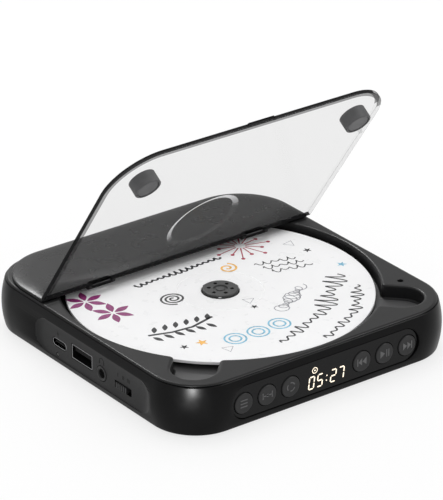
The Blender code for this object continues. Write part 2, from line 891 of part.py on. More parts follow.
def buttons():
    """Six push buttons, each with a plunger through the wall and a collar behind it."""
    names = ("button_menu", "button_segment", "button_sound",
             "button_previous", "button_play", "button_next")
    face = panel_face_y - button_proud
    back = face + button_cap
    collar = -inner_half + gap
    end = board_front_y - tact_height - tact_stem_height - tact_play
    for name, x in zip(names, button_places()):
        profile = [(0, face), (button_radius - button_edge, face), (button_radius, face + button_edge),
                   (button_radius, back), (plunger_radius, back), (plunger_radius, collar),
                   (collar_radius, collar), (collar_radius, collar + collar_thickness),
                   (plunger_radius, collar + collar_thickness), (plunger_radius, end), (0, end)]
        make(name, [turned(profile, round_steps, axis="Y")], satin_black, (x, 0.0, height(button_level)))


def button_board():
    """Upright board behind the panel with a tact switch for each button."""
    outline = rectangle(-button_board_half_length, button_board_half_length,
                        height(floor_thickness) + gap, height(button_board_top_level))
    item = make("button_board", [prism(outline, board_front_y, board_front_y + board_thickness, "Y")],
                board_green)
    switches = []
    for x in button_places():
        body = rectangle(x - tact_half, x + tact_half,
                         height(button_level) - tact_half, height(button_level) + tact_half)
        stem = circle(tact_stem_radius, small_steps, x, height(button_level))
        tip = board_front_y - tact_height - tact_stem_height
        switches.append(prism(body, board_front_y - tact_height, board_front_y + gap, "Y"))
        add(item, "tool_tact_stem_%d" % len(switches), [prism(stem, tip, board_front_y, "Y")])
    add(item, "tool_tact_switches", switches)


def display_module():
    """Light-emitting digit block that shines through the panel."""
    outline = rectangle(-display_half_width, display_half_width,
                        height(display_level) - display_half_height,
                        height(display_level) + display_half_height)
    make("display_module", [prism(outline, panel_bed_y, board_front_y - gap, "Y")], gloss_black)


def usb_c_socket():
    level = height(usb_c_level)
    shell = stadium(usb_c_half_width, usb_c_half_height, usb_c_y, level)
    item = make("usb_c_socket", [prism(shell, port_face_x, port_face_x + usb_c_depth, "X")], bright_metal)
    bore = stadium(usb_c_half_width - metal_wall, usb_c_half_height - metal_wall, usb_c_y, level)
    back = port_face_x + usb_c_depth - socket_back
    cut(item, "tool_usb_c_bore", [prism(bore, port_face_x - overrun, back, "X")])
    tongue = rectangle(usb_c_y - usb_c_tongue_half_width, usb_c_y + usb_c_tongue_half_width,
                       level - usb_c_tongue_half_height, level + usb_c_tongue_half_height)
    add(item, "tool_usb_c_tongue", [prism(tongue, port_face_x + tongue_setback, back + gap, "X")])


def usb_a_socket():
    level = height(usb_a_level)
    wide = usb_a_half_width
    tall = usb_a_half_height
    shell = rectangle(usb_a_y - wide, usb_a_y + wide, level - tall, level + tall)
    item = make("usb_a_socket", [prism(shell, port_face_x, port_face_x + usb_a_depth, "X")], bright_metal)
    wide -= metal_wall
    tall -= metal_wall
    bore = rectangle(usb_a_y - wide, usb_a_y + wide, level - tall, level + tall)
    back = port_face_x + usb_a_depth - socket_back
    cut(item, "tool_usb_a_bore", [prism(bore, port_face_x - overrun, back, "X")])
    tongue = rectangle(usb_a_y - usb_a_tongue_half_width, usb_a_y + usb_a_tongue_half_width,
                       level + gap, level + gap + usb_a_tongue_thickness)
    add(item, "tool_usb_a_tongue", [prism(tongue, port_face_x + tongue_setback, back + gap, "X")])


def headphone_jack():
    low = port_face_x - jack_proud
    back = port_face_x + jack_depth
    end = back - socket_back
    profile = [(0, back), (jack_radius, back), (jack_radius, low), (jack_bore_radius + jack_chamfer, low),
               (jack_bore_radius, low + jack_chamfer), (jack_bore_radius, end), (0, end)]
    make("headphone_jack", [turned(profile, round_steps, jack_y, height(jack_level), "X")], gloss_black)


def mode_knob():
    """Ribbed knob in the window, with a collar that keeps it behind the wall."""
    face = port_face_x - knob_proud
    inner_x = -inner_half + gap
    back = inner_x + knob_collar_thickness
    outline = rectangle(-knob_half_length, knob_half_length, -knob_half_height, knob_half_height)
    item = make("mode_switch_knob", [prism(outline, face, back, "X")], satin_black,
                (0.0, window_y + knob_rest_offset, height(window_level)))
    collar = rectangle(-knob_half_length, knob_half_length, -knob_collar_half_height, knob_collar_half_height)
    add(item, "tool_knob_collar", [prism(collar, inner_x, back, "X")])
    grooves = []
    for index in range(knob_rib_count):
        middle = (index - (knob_rib_count - 1) / 2.0) * 2.0 * knob_rib_width
        slot = rectangle(middle - knob_rib_width / 2.0, middle + knob_rib_width / 2.0,
                         -knob_half_height - overrun, knob_half_height + overrun)
        grooves.append(prism(slot, face - overrun, face + knob_rib_depth, "X"))
    cut(item, "tool_knob_grooves", grooves)


def mode_switch_body():
    """Slide switch behind the wall, driven by the knob's collar."""
    level = height(window_level)
    low_x = -inner_half + gap + knob_collar_thickness + gap
    outline = rectangle(window_y - window_half_length - gap, window_y + window_half_length + gap,
                        level - knob_collar_half_height, level + knob_collar_half_height)
    make("mode_switch_body", [prism(outline, low_x, low_x + switch_body_depth, "X")], bright_metal)


def charge_lamp():
    profile = [(0, port_face_x), (lamp_radius, port_face_x),
               (lamp_radius, port_face_x + lamp_length), (0, port_face_x + lamp_length)]
    make("charge_lamp", [turned(profile, small_steps, lamp_y, height(lamp_level), "X")], lamp_clear)


def port_carrier():
    """Stepped block on the main board that the sockets sit on."""
    base = height(main_board_level) + board_thickness + gap
    usb_c_seat = height(usb_c_level) - usb_c_half_height - gap
    usb_a_seat = height(usb_a_level) - usb_a_half_height - gap
    jack_seat = height(jack_level) - jack_radius - gap
    switch_seat = height(window_level) - knob_collar_half_height - gap
    low_y = window_y - window_half_length
    outline = [(low_y, base), (usb_c_y + usb_c_half_width, base),
               (usb_c_y + usb_c_half_width, usb_c_seat), (usb_c_y - usb_c_half_width, usb_c_seat),
               (usb_c_y - usb_c_half_width, usb_a_seat), (usb_a_y - usb_a_half_width, usb_a_seat),
               (usb_a_y - usb_a_half_width, jack_seat), (jack_y - jack_radius, jack_seat),
               (jack_y - jack_radius, switch_seat), (low_y, switch_seat)]
    low_x = -inner_half + gap + knob_collar_thickness + gap
    make("port_carrier", [prism(outline, low_x, low_x + switch_body_depth, "X")], gloss_black)


def compact_disc():
    """120 mm disc with its stacking ring."""
    low = height(disc_bottom_level)
    high = height(disc_top_level)
    profile = [(disc_hole_radius, low), (ring_radius - ring_width, low),
               (ring_radius - ring_width / 2.0, low - ring_height),
               (ring_radius + ring_width / 2.0, low - ring_height), (ring_radius + ring_width, low),
               (disc_radius, low), (disc_radius, high), (disc_hole_radius, high)]
    make("compact_disc", [turned(profile, disc_steps)], disc_white)


def hub_claw(index):
    """Wedge-shaped claw that grips the rim of the disc's hole."""
    angle = math.radians(claw_angle_deg + 360.0 * index / claw_count)
    low = height(disc_top_level) + gap / 2.0
    section = [(hub_boss_radius - claw_root, low), (hub_boss_radius + claw_reach, low + claw_height / 2.0),
               (hub_boss_radius - claw_root, low + claw_height)]
    rows = []
    for side in (-claw_width / 2.0, claw_width / 2.0):
        rows.append([(radius * math.cos(angle) - side * math.sin(angle),
                      radius * math.sin(angle) + side * math.cos(angle), z) for radius, z in section])
    return skin(rows)


def turntable_hub():
    """Flange under the disc, boss through its hole, three claws and a spindle sleeve."""
    seat = height(disc_bottom_level) - gap
    top = height(disc_top_level) + hub_rise
    foot = seat - hub_flange_thickness
    sleeve = foot - hub_sleeve_drop
    groove = hub_hole_circle / 2.0
    profile = [(0, sleeve), (hub_sleeve_radius, sleeve), (hub_sleeve_radius, foot), (hub_flange_radius, foot),
               (hub_flange_radius, seat), (hub_boss_radius, seat), (hub_boss_radius, top - hub_dome),
               (hub_boss_radius - hub_dome, top), (groove + hub_groove_depth, top),
               (groove, top - hub_groove_depth), (groove - hub_groove_depth, top), (0, top)]
    item = make("turntable_hub", [turned(profile, round_steps)], satin_black)
    add(item, "tool_hub_claws", [hub_claw(index) for index in range(claw_count)])
    bore = circle(shaft_radius + gap, small_steps)
    cut(item, "tool_hub_bore", [prism(bore, sleeve - overrun, height(disc_top_level) - gap)])
    holes = []
    for index in range(hub_hole_count):
        angle = math.radians(hub_hole_angle_deg + 360.0 * index / hub_hole_count)
        centre = (hub_hole_circle * math.cos(angle), hub_hole_circle * math.sin(angle))
        holes.append(prism(circle(hub_hole_radius, hole_steps, *centre), top - hub_hole_depth, top + overrun))
    cut(item, "tool_hub_holes", holes)


def spindle():
    """Motor shaft, pressed up into the turntable."""
    low = height(plate_level) - motor_height
    top = height(disc_top_level) - 2 * gap
    make("spindle_shaft", [prism(circle(shaft_radius, small_steps), low, top)], bright_metal)


def spindle_motor():
    top = height(plate_level) - gap
    low = top - motor_height
    bore = shaft_radius + gap
    profile = [(bore, low), (motor_step_radius, low), (motor_step_radius, low + motor_step_height),
               (motor_radius, low + motor_step_height), (motor_radius, top), (bore, top)]
    make("spindle_motor", [turned(profile, round_steps)], bright_metal)


def gear_places():
    """Axes of the feed gear and of the feed motor's pinion."""
    rack_pitch_y = sled_half_width + rack_back + gear_module * dedendum_share
    gear_x = rack_end_x - gear_module * math.pi * 1.5
    gear_y = rack_pitch_y + gear_module * small_gear_teeth / 2.0
    spread = gear_module * (large_gear_teeth + pinion_teeth) / 2.0
    angle = math.radians(feed_motor_angle_deg)
    pinion = (gear_x + spread * math.cos(angle), gear_y + spread * math.sin(angle))
    return (gear_x, gear_y), pinion


def gear_outline(teeth, tooth_deg):
    """Involute-sided teeth, one of them centred on the given direction."""
    pressure = math.radians(pressure_deg)
    pitch_radius = gear_module * teeth / 2.0
    base_radius = pitch_radius * math.cos(pressure)
    tip_radius = pitch_radius + gear_module * addendum_share
    root_radius = pitch_radius - gear_module * dedendum_share
    half = math.pi / (2.0 * teeth) - backlash / (2.0 * pitch_radius)
    sides = []
    for radius in (max(root_radius, base_radius), pitch_radius, tip_radius):
        roll = math.acos(min(1.0, base_radius / radius))
        sides.append((radius, half + math.tan(pressure) - pressure - math.tan(roll) + roll))
    sides = [(root_radius, sides[0][1])] + sides[1:]
    points = []
    for tooth in range(teeth):
        middle = math.radians(tooth_deg) + 2.0 * math.pi * tooth / teeth
        turns = [(radius, middle - angle) for radius, angle in sides]
        turns += [(radius, middle + angle) for radius, angle in reversed(sides)]
        points += [(radius * math.cos(turn), radius * math.sin(turn)) for radius, turn in turns]
    return points


def drive_plate():
    """Mechanism plate with the laser slot, rod brackets and the gear stud."""
    outline = rounded_rectangle(plate_low_x, plate_high_x, plate_low_y, plate_high_y, plate_corner, 3)
    low = height(plate_level)
    high = low + plate_thickness
    item = make("drive_plate", [prism(outline, low, high)], bright_metal)
    brackets = []
    for x in rod_ends():
        for sign in (-1, 1):
            middle = sign * rod_spread
            block = rectangle(middle - bracket_half_width, middle + bracket_half_width,
                              height(rod_level) - rod_radius - bracket_thickness, low + gap)
            brackets.append(prism(block, x, x + bracket_thickness, "X"))
    (gear_x, gear_y), _pinion = gear_places()
    stud_low = height(large_gear_level)
    brackets.append(prism(circle(stud_radius, small_steps, gear_x, gear_y), stud_low, low + gap))
    add(item, "tool_plate_brackets", brackets)
    bores = [prism(circle(rod_radius + pin_play, small_steps, sign * rod_spread, height(rod_level)),
                   bracket_low_x - overrun, plate_high_x + overrun, "X") for sign in (-1, 1)]
    holes = [prism(circle(damper_neck_radius + gap, small_steps, x, y), low - overrun, high + overrun)
             for x, y in damper_places()]
    slot = rounded_rectangle(lens_x - lens_base_radius - gap, laser_slot_end_x + gap,
                             -lens_base_radius - gap, lens_base_radius + gap, lens_base_radius, 4)
    holes.append(prism(slot, low - overrun, high + overrun))
    holes.append(prism(circle(hub_sleeve_radius + gap, round_steps), low - overrun, high + overrun))
    cut(item, "tool_plate_bores", bores)
    cut(item, "tool_plate_holes", holes)


def rod_ends():
    """Low faces of the inner and the outer bracket."""
    return bracket_low_x, plate_high_x - bracket_thickness


def guide_rods():
    for name, sign in (("guide_rod_front", -1), ("guide_rod_rear", 1)):
        outline = circle(rod_radius, small_steps, sign * rod_spread, height(rod_level))
        low, high = rod_ends()
        make(name, [prism(outline, low + gap, high + bracket_thickness, "X")], bright_metal)


def pickup_sled():
    """Laser sled on two rods, with its rack moulded along the rear side."""
    low = height(sled_level)
    outline = rectangle(sled_low_x, sled_high_x, -sled_half_width, sled_half_width)
    item = make("pickup_sled", [prism(outline, low, low + sled_thickness)], gloss_black)
    pitch = gear_module * math.pi
    root_y = sled_half_width + rack_back
    tip_y = root_y + gear_module * (dedendum_share + addendum_share)
    pitch_y = root_y + gear_module * dedendum_share
    lean = math.tan(math.radians(pressure_deg))
    (gear_x, _gear_y), _pinion = gear_places()
    first = gear_x - (rack_teeth - 2) * pitch
    points = [(first - pitch / 2.0, sled_half_width - gap), (first - pitch / 2.0, root_y)]
    for tooth in range(rack_teeth):
        middle = first + tooth * pitch
        half = pitch / 4.0 - backlash / 2.0
        foot = half + (pitch_y - root_y) * lean
        tip = half - (tip_y - pitch_y) * lean
        points += [(middle - foot, root_y), (middle - tip, tip_y), (middle + tip, tip_y),
                   (middle + foot, root_y)]
    last = first + (rack_teeth - 1) * pitch + pitch / 2.0
    points += [(last, root_y), (last, sled_half_width - gap)]
    add(item, "tool_sled_rack", [prism(points, height(rack_level), height(rack_level) + rack_height)])
    bores = [prism(circle(rod_radius + gap, small_steps, sign * rod_spread, height(rod_level)),
                   sled_low_x - overrun, sled_high_x + overrun, "X") for sign in (-1, 1)]
    cut(item, "tool_sled_bores", bores)


def objective_lens():
    """Lens turret that rides on the sled and looks up through the slot."""
    seat = height(sled_level) + sled_thickness + gap
    top = height(lens_top_level)
    profile = [(0, seat), (lens_base_radius - gap, seat), (lens_base_radius - gap, seat + lens_base_height),
               (lens_radius, seat + lens_base_height), (lens_radius, top - lens_dome),
               (lens_radius / 2.0, top - lens_dome / 4.0), (0, top)]
    make("objective_lens", [turned(profile, round_steps)], gloss_black, (lens_x, 0.0, 0.0))


def feed_gear():
    """Double gear on the plate's stud: the large one meets the pinion, the small one the rack."""
    (gear_x, gear_y), _pinion = gear_places()
    low = height(large_gear_level)
    high = low + large_gear_thickness
    large = gear_outline(large_gear_teeth, feed_motor_angle_deg)
    item = make("feed_gear", [prism(large, low, high)], gear_plastic, (gear_x, gear_y, 0.0))
    small = gear_outline(small_gear_teeth, -90.0 + 180.0 / small_gear_teeth)
    add(item, "tool_small_gear", [prism(small, high - gap, height(rack_level) + rack_height)])
    bore = circle(stud_radius + gap, small_steps)
    cut(item, "tool_gear_bore", [prism(bore, low - overrun, height(plate_level))])


def feed_drive():
    """Feed motor under the plate, with its pinion."""
    _gear, (pinion_x, pinion_y) = gear_places()
    at = (pinion_x, pinion_y, 0.0)
    low = height(large_gear_level)
    high = low + large_gear_thickness
    facing = feed_motor_angle_deg + 180.0 + 180.0 / pinion_teeth
    wheel = make("motor_pinion", [prism(gear_outline(pinion_teeth, facing), low, high)], gear_plastic, at)
    shaft = circle(pinion_shaft_radius, small_steps)
    add(wheel, "tool_pinion_shaft", [prism(shaft, high - gap, high + pinion_shaft_length)])
    top = height(plate_level) - gap
    profile = [(pinion_shaft_radius + gap, high + gap), (feed_motor_radius, high + gap),
               (feed_motor_radius, top), (pinion_shaft_radius + gap, top)]
    make("feed_motor", [turned(profile, round_steps)], bright_metal, at)


def rubber_dampers():
    """Grommets on the posts, gripping the drive plate in their necks."""
    names = ("damper_front_left", "damper_rear_left", "damper_front_right", "damper_rear_right")
    low = height(plate_level) - gap - damper_flange
    neck_low = low + damper_flange
    neck_high = neck_low + plate_thickness + 2 * gap
    for name, (x, y) in zip(names, damper_places()):
        profile = [(damper_bore, low), (damper_radius, low), (damper_radius, neck_low),
                   (damper_neck_radius, neck_low), (damper_neck_radius, neck_high),
                   (damper_radius, neck_high), (damper_radius, neck_high + damper_flange),
                   (damper_bore, neck_high + damper_flange)]
        make(name, [turned(profile, small_steps)], soft_rubber, (x, y, 0.0))


def main_board():
    """Main circuit board on four standoffs, with its decoder chip."""
    outline = rounded_rectangle(main_board_low_x, main_board_high_x, main_board_low_y, main_board_high_y,
                                main_board_corner, 2)
    low = height(main_board_level)
    high = low + board_thickness
    item = make("main_board", [prism(outline, low, high)], board_green)
    chip = rectangle(chip_x - chip_half, chip_x + chip_half, chip_y - chip_half, chip_y + chip_half)
    add(item, "tool_board_chip", [prism(chip, high - gap, high + chip_height)])
    holes = [prism(circle(damper_post_radius + gap, small_steps, x, y), low - overrun, high + overrun)
             for x, y in damper_places() if x < main_board_high_x and y < main_board_high_y]
    cut(item, "tool_board_holes", holes)


def battery_cell():
    outline = rounded_rectangle(battery_low_x, battery_high_x, battery_low_y, battery_high_y,
                                battery_corner, 3)
    low = height(floor_thickness) + gap
    make("battery_cell", [prism(outline, low, low + battery_height)], cell_wrap)


def lid_switch():
    """Small lever switch under the deck, pressed by the lid's pin."""
    top = height(deck_level - deck_thickness) - gap
    low_y = detect_y + lid_switch_offset
    tip = height(deck_level) - detect_pin_length - gap
    lever = tip - lid_switch_lever_thickness
    outline = [(low_y, top - lid_switch_height), (low_y + lid_switch_length, top - lid_switch_height),
               (low_y + lid_switch_length, top), (low_y, top), (low_y, tip),
               (low_y - lid_switch_lever, tip), (low_y - lid_switch_lever, lever), (low_y, lever)]
    make("lid_switch", [prism(outline, detect_x - lid_switch_half_width,
                              detect_x + lid_switch_half_width, "X")], gloss_black)


def build():
    clear_scene()
    lower_housing()
    rubber_feet()
    case_screws()
    deck_frame()
    rear_cover()
    hinge_pins()
    hinge = lid_hinge()
    lid_panel(hinge)
    lid_bumpers(hinge)
    front_panel()
    buttons()
    button_board()
    display_module()
    usb_c_socket()
    usb_a_socket()
    headphone_jack()
    mode_knob()
    mode_switch_body()
    charge_lamp()
    port_carrier()
    compact_disc()
    turntable_hub()
    spindle()
    spindle_motor()
    drive_plate()
    guide_rods()
    pickup_sled()
    objective_lens()
    feed_gear()
    feed_drive()
    rubber_dampers()
    main_board()
    battery_cell()
    lid_switch()


build()
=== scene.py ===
import json
import math

import bmesh
import bpy
from mathutils import Matrix, Vector


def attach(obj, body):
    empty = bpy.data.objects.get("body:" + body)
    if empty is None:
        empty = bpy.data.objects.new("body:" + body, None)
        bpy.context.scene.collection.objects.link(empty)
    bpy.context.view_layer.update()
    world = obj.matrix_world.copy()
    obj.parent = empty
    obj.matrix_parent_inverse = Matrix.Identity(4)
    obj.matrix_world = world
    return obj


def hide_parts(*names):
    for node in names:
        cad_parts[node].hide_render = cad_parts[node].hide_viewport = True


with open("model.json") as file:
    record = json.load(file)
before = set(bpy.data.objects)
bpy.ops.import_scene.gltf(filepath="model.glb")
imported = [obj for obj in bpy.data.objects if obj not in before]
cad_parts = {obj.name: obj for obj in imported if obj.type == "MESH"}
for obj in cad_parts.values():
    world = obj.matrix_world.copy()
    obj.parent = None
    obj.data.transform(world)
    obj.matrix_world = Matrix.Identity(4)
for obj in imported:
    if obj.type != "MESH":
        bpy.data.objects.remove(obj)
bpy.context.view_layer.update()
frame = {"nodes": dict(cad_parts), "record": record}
print("frame loaded with", len(frame["nodes"]), "nodes")

# Sizes are millimetres. Heights called level are counted from the case bottom, which the feet lift.
mm = 0.001
foot = 0.8


def height(level):
    return level + foot


# Outlines

def arcPoints(centreX, centreY, radius, startDeg, endDeg, steps):
    points = []
    for step in range(steps + 1):
        angle = math.radians(startDeg + (endDeg - startDeg) * step / steps)
        points.append((centreX + radius * math.cos(angle), centreY + radius * math.sin(angle)))
    return points


def circlePoints(radius, steps, centreX=0.0, centreY=0.0):
    return arcPoints(centreX, centreY, radius, 0.0, 360.0, steps)[:-1]


def roundedBox(lowX, highX, lowY, highY, radius, steps=8):
    points = arcPoints(highX - radius, highY - radius, radius, 0.0, 90.0, steps)
    points += arcPoints(lowX + radius, highY - radius, radius, 90.0, 180.0, steps)
    points += arcPoints(lowX + radius, lowY + radius, radius, 180.0, 270.0, steps)
    points += arcPoints(highX - radius, lowY + radius, radius, 270.0, 360.0, steps)
    return points


def centredBox(u, v, halfU, halfV, radius, steps=8):
    return roundedBox(u - halfU, u + halfU, v - halfV, v + halfV, radius, steps)


def squareOutline(half, radius, steps):
    return roundedBox(-half, half, -half, half, radius, steps)


def stadium(halfLength, halfHeight, centreU=0.0, centreV=0.0, steps=24):
    reach = halfLength - halfHeight
    points = arcPoints(centreU + reach, centreV, halfHeight, -90.0, 90.0, steps)
    return points + arcPoints(centreU - reach, centreV, halfHeight, 90.0, 270.0, steps)


def quarterRound(steps, first=0):
    # shares of the radius along a quarter circle: one grows to 1, the other shrinks to 0
    turns = [math.radians(90.0 * step / steps) for step in range(first, steps + 1)]
    return [(1.0 - math.cos(turn), 1.0 - math.sin(turn)) for turn in turns]


def place(u, v, w, axis):
    if axis == "X":
        return (w, u, v)
    if axis == "Y":
        return (u, w, v)
    return (u, v, w)


# Mesh building

def addRing(work, outline, distance, axis="Z"):
    return [work.verts.new([c * mm for c in place(u, v, distance, axis)]) for u, v in outline]


def bridge(work, lower, upper, slotIndex=0):
    count = len(lower)
    for index in range(count):
        following = (index + 1) % count
        face = work.faces.new((lower[index], lower[following], upper[following], upper[index]))
        face.material_index = slotIndex


def bridgeAll(work, rings, slotIndex=0):
    for lower, upper in zip(rings, rings[1:]):
        bridge(work, lower, upper, slotIndex)


def cap(work, ring, slotIndex=0):
    face = work.faces.new(ring)
    face.material_index = slotIndex


def fillBetween(work, rings, slotIndex=0):
    edges = []
    for ring in rings:
        for index, corner in enumerate(ring):
            following = ring[(index + 1) % len(ring)]
            edge = work.edges.get((corner, following)) or work.edges.new((corner, following))
            edges.append(edge)
    made = bmesh.ops.triangle_fill(work, use_beauty=True, use_dissolve=False, edges=edges)
    for item in made["geom"]:
        if isinstance(item, bmesh.types.BMFace):
            item.material_index = slotIndex


def loftSolid(work, sections, axis="Z", slotIndex=0):
    rings = [addRing(work, outline, distance, axis) for outline, distance in sections]
    bridgeAll(work, rings, slotIndex)
    cap(work, rings[0], slotIndex)
    cap(work, rings[-1], slotIndex)


def prism(work, outline, low, high, axis="Z", slotIndex=0):
    loftSolid(work, [(outline, low), (outline, high)], axis, slotIndex)


def turnSolid(work, profile, steps, centreU=0.0, centreV=0.0, axis="Z", slotIndex=0):
    rows = []
    for radius, distance in profile:
        if radius == 0:
            rows.append([work.verts.new([c * mm for c in place(centreU, centreV, distance, axis)])])
        else:
            rows.append(addRing(work, circlePoints(radius, steps, centreU, centreV), distance, axis))
    pairs = list(zip(rows, rows[1:]))
    if len(rows[0]) > 1:
        pairs.append((rows[-1], rows[0]))
    for low, high in pairs:
        for index in range(steps):
            following = (index + 1) % steps
            corners = [low[index % len(low)], low[following % len(low)],
                       high[following % len(high)], high[index % len(high)]]
            face = work.faces.new(list(dict.fromkeys(corners)))
            face.material_index = slotIndex


# Degrees above which an edge is shaded sharp, on small parts and on the rest.
crisp = 30.0
firm = 35.0


def newObject(name, work, materials=(), sharpDeg=firm):
    bmesh.ops.recalc_face_normals(work, faces=work.faces)
    mesh = bpy.data.meshes.new(name)
    work.to_mesh(mesh)
    work.free()
    item = bpy.data.objects.new(name, mesh)
    bpy.context.scene.collection.objects.link(item)
    for material in materials:
        mesh.materials.append(material)
    mesh.shade_smooth()
    mesh.set_sharp_from_angle(angle=math.radians(sharpDeg))
    return item


def settle(item, sharpDeg=firm):
    bpy.context.view_layer.update()
    graph = bpy.context.evaluated_depsgraph_get()
    mesh = bpy.data.meshes.new_from_object(item.evaluated_get(graph))
    item.modifiers.clear()
    item.data = mesh
    mesh.shade_smooth()
    mesh.set_sharp_from_angle(angle=math.radians(sharpDeg))


def combine(item, build, operation="DIFFERENCE"):
    work = bmesh.new()
    build(work)
    tool = newObject("tool", work)
    modifier = item.modifiers.new("shape", "BOOLEAN")
    modifier.operation = operation
    modifier.solver = "EXACT"
    modifier.object = tool
    settle(item)
    bpy.data.objects.remove(tool, do_unlink=True)


def soften(item, width, limitDeg=38.0, sharpDeg=firm):
    modifier = item.modifiers.new("soften", "BEVEL")
    modifier.width = width * mm
    modifier.segments = 2
    modifier.limit_method = "ANGLE"
    modifier.angle_limit = math.radians(limitDeg)
    modifier.use_clamp_overlap = True
    settle(item, sharpDeg)


def evenShading(item):
    modifier = item.modifiers.new("evenShading", "WEIGHTED_NORMAL")
    modifier.keep_sharp = True
    modifier.weight = 80


def mount(item, body, slot, *nodes):
    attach(item, body)
    if nodes:
        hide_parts(*nodes)


# Materials. Clouds, wear and grain are noise scales per metre. Dark and light are shares of the colour,
# smooth and rough of the roughness, and depth is in millimetres.

texture = {
    "plastic": {"clouds": 90.0, "dark": 0.94, "light": 1.05, "wear": 160.0, "detail": 4.0, "bump": 0.35},
    "gloss": {"clouds": 70.0, "wear": 240.0, "detail": 5.0, "smooth": 0.8, "rough": 1.3,
              "grain": 500.0, "bump": 0.15, "depth": 0.004},
    "steel": {"clouds": 200.0, "dark": 0.85, "light": 1.0, "wear": 700.0, "detail": 3.0, "smooth": 0.7,
              "rough": 1.4, "bump": 0.2, "depth": 0.01},
    "rubber": {"clouds": 300.0, "dark": 0.88, "light": 1.1, "grain": 3000.0, "bump": 0.5, "depth": 0.03},
    "acrylic": {"clouds": 60.0, "dark": 0.95, "light": 1.05, "wear": 120.0, "detail": 4.0, "smooth": 0.6,
                "rough": 1.8, "coatRoughness": 0.03, "bend": 1.49},
    "ink": {"clouds": 900.0, "dark": 0.8, "light": 1.25, "roughness": 0.45, "gloss": 0.2},
    "glow": {"clouds": 500.0, "dark": 0.9, "light": 1.0, "roughness": 0.4},
    "paper": {"clouds": 4.0, "dark": 0.99, "light": 1.0, "roughness": 0.85},
}
noiseLow = 0.35
noiseHigh = 0.65

# Painted highlight and painted shade on the sloped ring of the lid's recess: it is painted paler and denser
# towards one side as a highlight, and dark on the other as shade. Tone and cover are stops along it.
paintedGleam = {
    "bright": (0.86, 0.86, 0.87), "dark": (0.004, 0.004, 0.004), "roughness": 0.15, "gloss": 0.3,
    "towards": (-0.42, -0.50, 0.757), "reachFrom": 0.011, "reachTo": 0.038,
    "tone": ((0.0, "dark"), (0.45, "dark"), (0.6, "bright"), (1.0, "bright")),
    "cover": ((0.0, 0.6), (0.3, 0.35), (0.5, 0.06), (0.72, 0.5), (1.0, 0.95)),
}


def newMaterial(name, colour, roughness, metallic=0.0, gloss=0.5):
    material = bpy.data.materials.new(name)
    material.use_nodes = True
    shader = material.node_tree.nodes["Principled BSDF"]
    shader.inputs["Specular IOR Level"].default_value = gloss
    shader.inputs["Base Color"].default_value = (*colour, 1.0)
    shader.inputs["Roughness"].default_value = roughness
    shader.inputs["Metallic"].default_value = metallic
    return material, shader


def addNoise(material, scale, detail=3.0, stretch=None):
    tree = material.node_tree
    where = tree.nodes.new("ShaderNodeTexCoord")
    noise = tree.nodes.new("ShaderNodeTexNoise")
    noise.inputs["Scale"].default_value = scale
    noise.inputs["Detail"].default_value = detail
    source = where.outputs["Object"]
    if stretch:
        mapping = tree.nodes.new("ShaderNodeMapping")
        mapping.inputs["Scale"].default_value = stretch
        tree.links.new(source, mapping.inputs["Vector"])
        source = mapping.outputs["Vector"]
    tree.links.new(source, noise.inputs["Vector"])
    return noise.outputs["Fac"]


def varyRoughness(material, shader, source, low, high):
    tree = material.node_tree
    mapping = tree.nodes.new("ShaderNodeMapRange")
    for name, value in (("From Min", noiseLow), ("From Max", noiseHigh), ("To Min", low), ("To Max", high)):
        mapping.inputs[name].default_value = value
    tree.links.new(source, mapping.inputs["Value"])
    tree.links.new(mapping.outputs["Result"], shader.inputs["Roughness"])


def addRamp(material, source, stops, socket):
    tree = material.node_tree
    ramp = tree.nodes.new("ShaderNodeValToRGB")
    elements = ramp.color_ramp.elements
    while len(elements) < len(stops):
        elements.new(0.5)
    for element, (position, colour) in zip(elements, stops):
        element.position = position
        element.color = (*colour, 1.0)
    tree.links.new(source, ramp.inputs["Fac"])
    tree.links.new(ramp.outputs["Color"], socket)


def addClouds(material, shader, colour, scale, dark, light):
    stops = [(position, tuple(channel * share for channel in colour))
             for position, share in ((noiseLow, dark), (noiseHigh, light))]
    addRamp(material, addNoise(material, scale), stops, shader.inputs["Base Color"])


def addKindClouds(material, shader, colour, kind):
    addClouds(material, shader, colour, kind["clouds"], kind["dark"], kind["light"])


def addWear(material, shader, roughness, kind):
    source = addNoise(material, kind["wear"], kind["detail"], kind.get("stretch"))
    varyRoughness(material, shader, source, roughness * kind["smooth"], roughness * kind["rough"])
    return source


def addBump(material, shader, source, strength, distance):
    tree = material.node_tree
    bump = tree.nodes.new("ShaderNodeBump")
    bump.inputs["Strength"].default_value = strength
    bump.inputs["Distance"].default_value = distance * mm
    tree.links.new(source, bump.inputs["Height"])
    tree.links.new(bump.outputs["Normal"], shader.inputs["Normal"])


def mouldedPlastic(name, colour, roughness, gloss=0.3, grain=2200.0, depth=0.02, spread=0.035):
    kind = texture["plastic"]
    material, shader = newMaterial(name, colour, roughness, 0.0, gloss)
    addKindClouds(material, shader, colour, kind)
    varyRoughness(material, shader, addNoise(material, kind["wear"], kind["detail"]),
                  roughness - spread, roughness + spread)
    addBump(material, shader, addNoise(material, grain, 2.0), kind["bump"], depth)
    return material


def glossPlastic(name, colour, roughness, gloss=0.4, cloud=0.07):
    kind = texture["gloss"]
    material, shader = newMaterial(name, colour, roughness, 0.0, gloss)
    addClouds(material, shader, colour, kind["clouds"], 1.0 - cloud, 1.0 + cloud)
    addWear(material, shader, roughness, kind)
    addBump(material, shader, addNoise(material, kind["grain"], 1.0), kind["bump"], kind["depth"])
    return material


def steel(name, colour, roughness, stretch=(1.0, 1.0, 30.0)):
    kind = {**texture["steel"], "stretch": stretch}
    material, shader = newMaterial(name, colour, roughness, 1.0)
    grain = addWear(material, shader, roughness, kind)
    addKindClouds(material, shader, colour, kind)
    addBump(material, shader, grain, kind["bump"], kind["depth"])
    return material


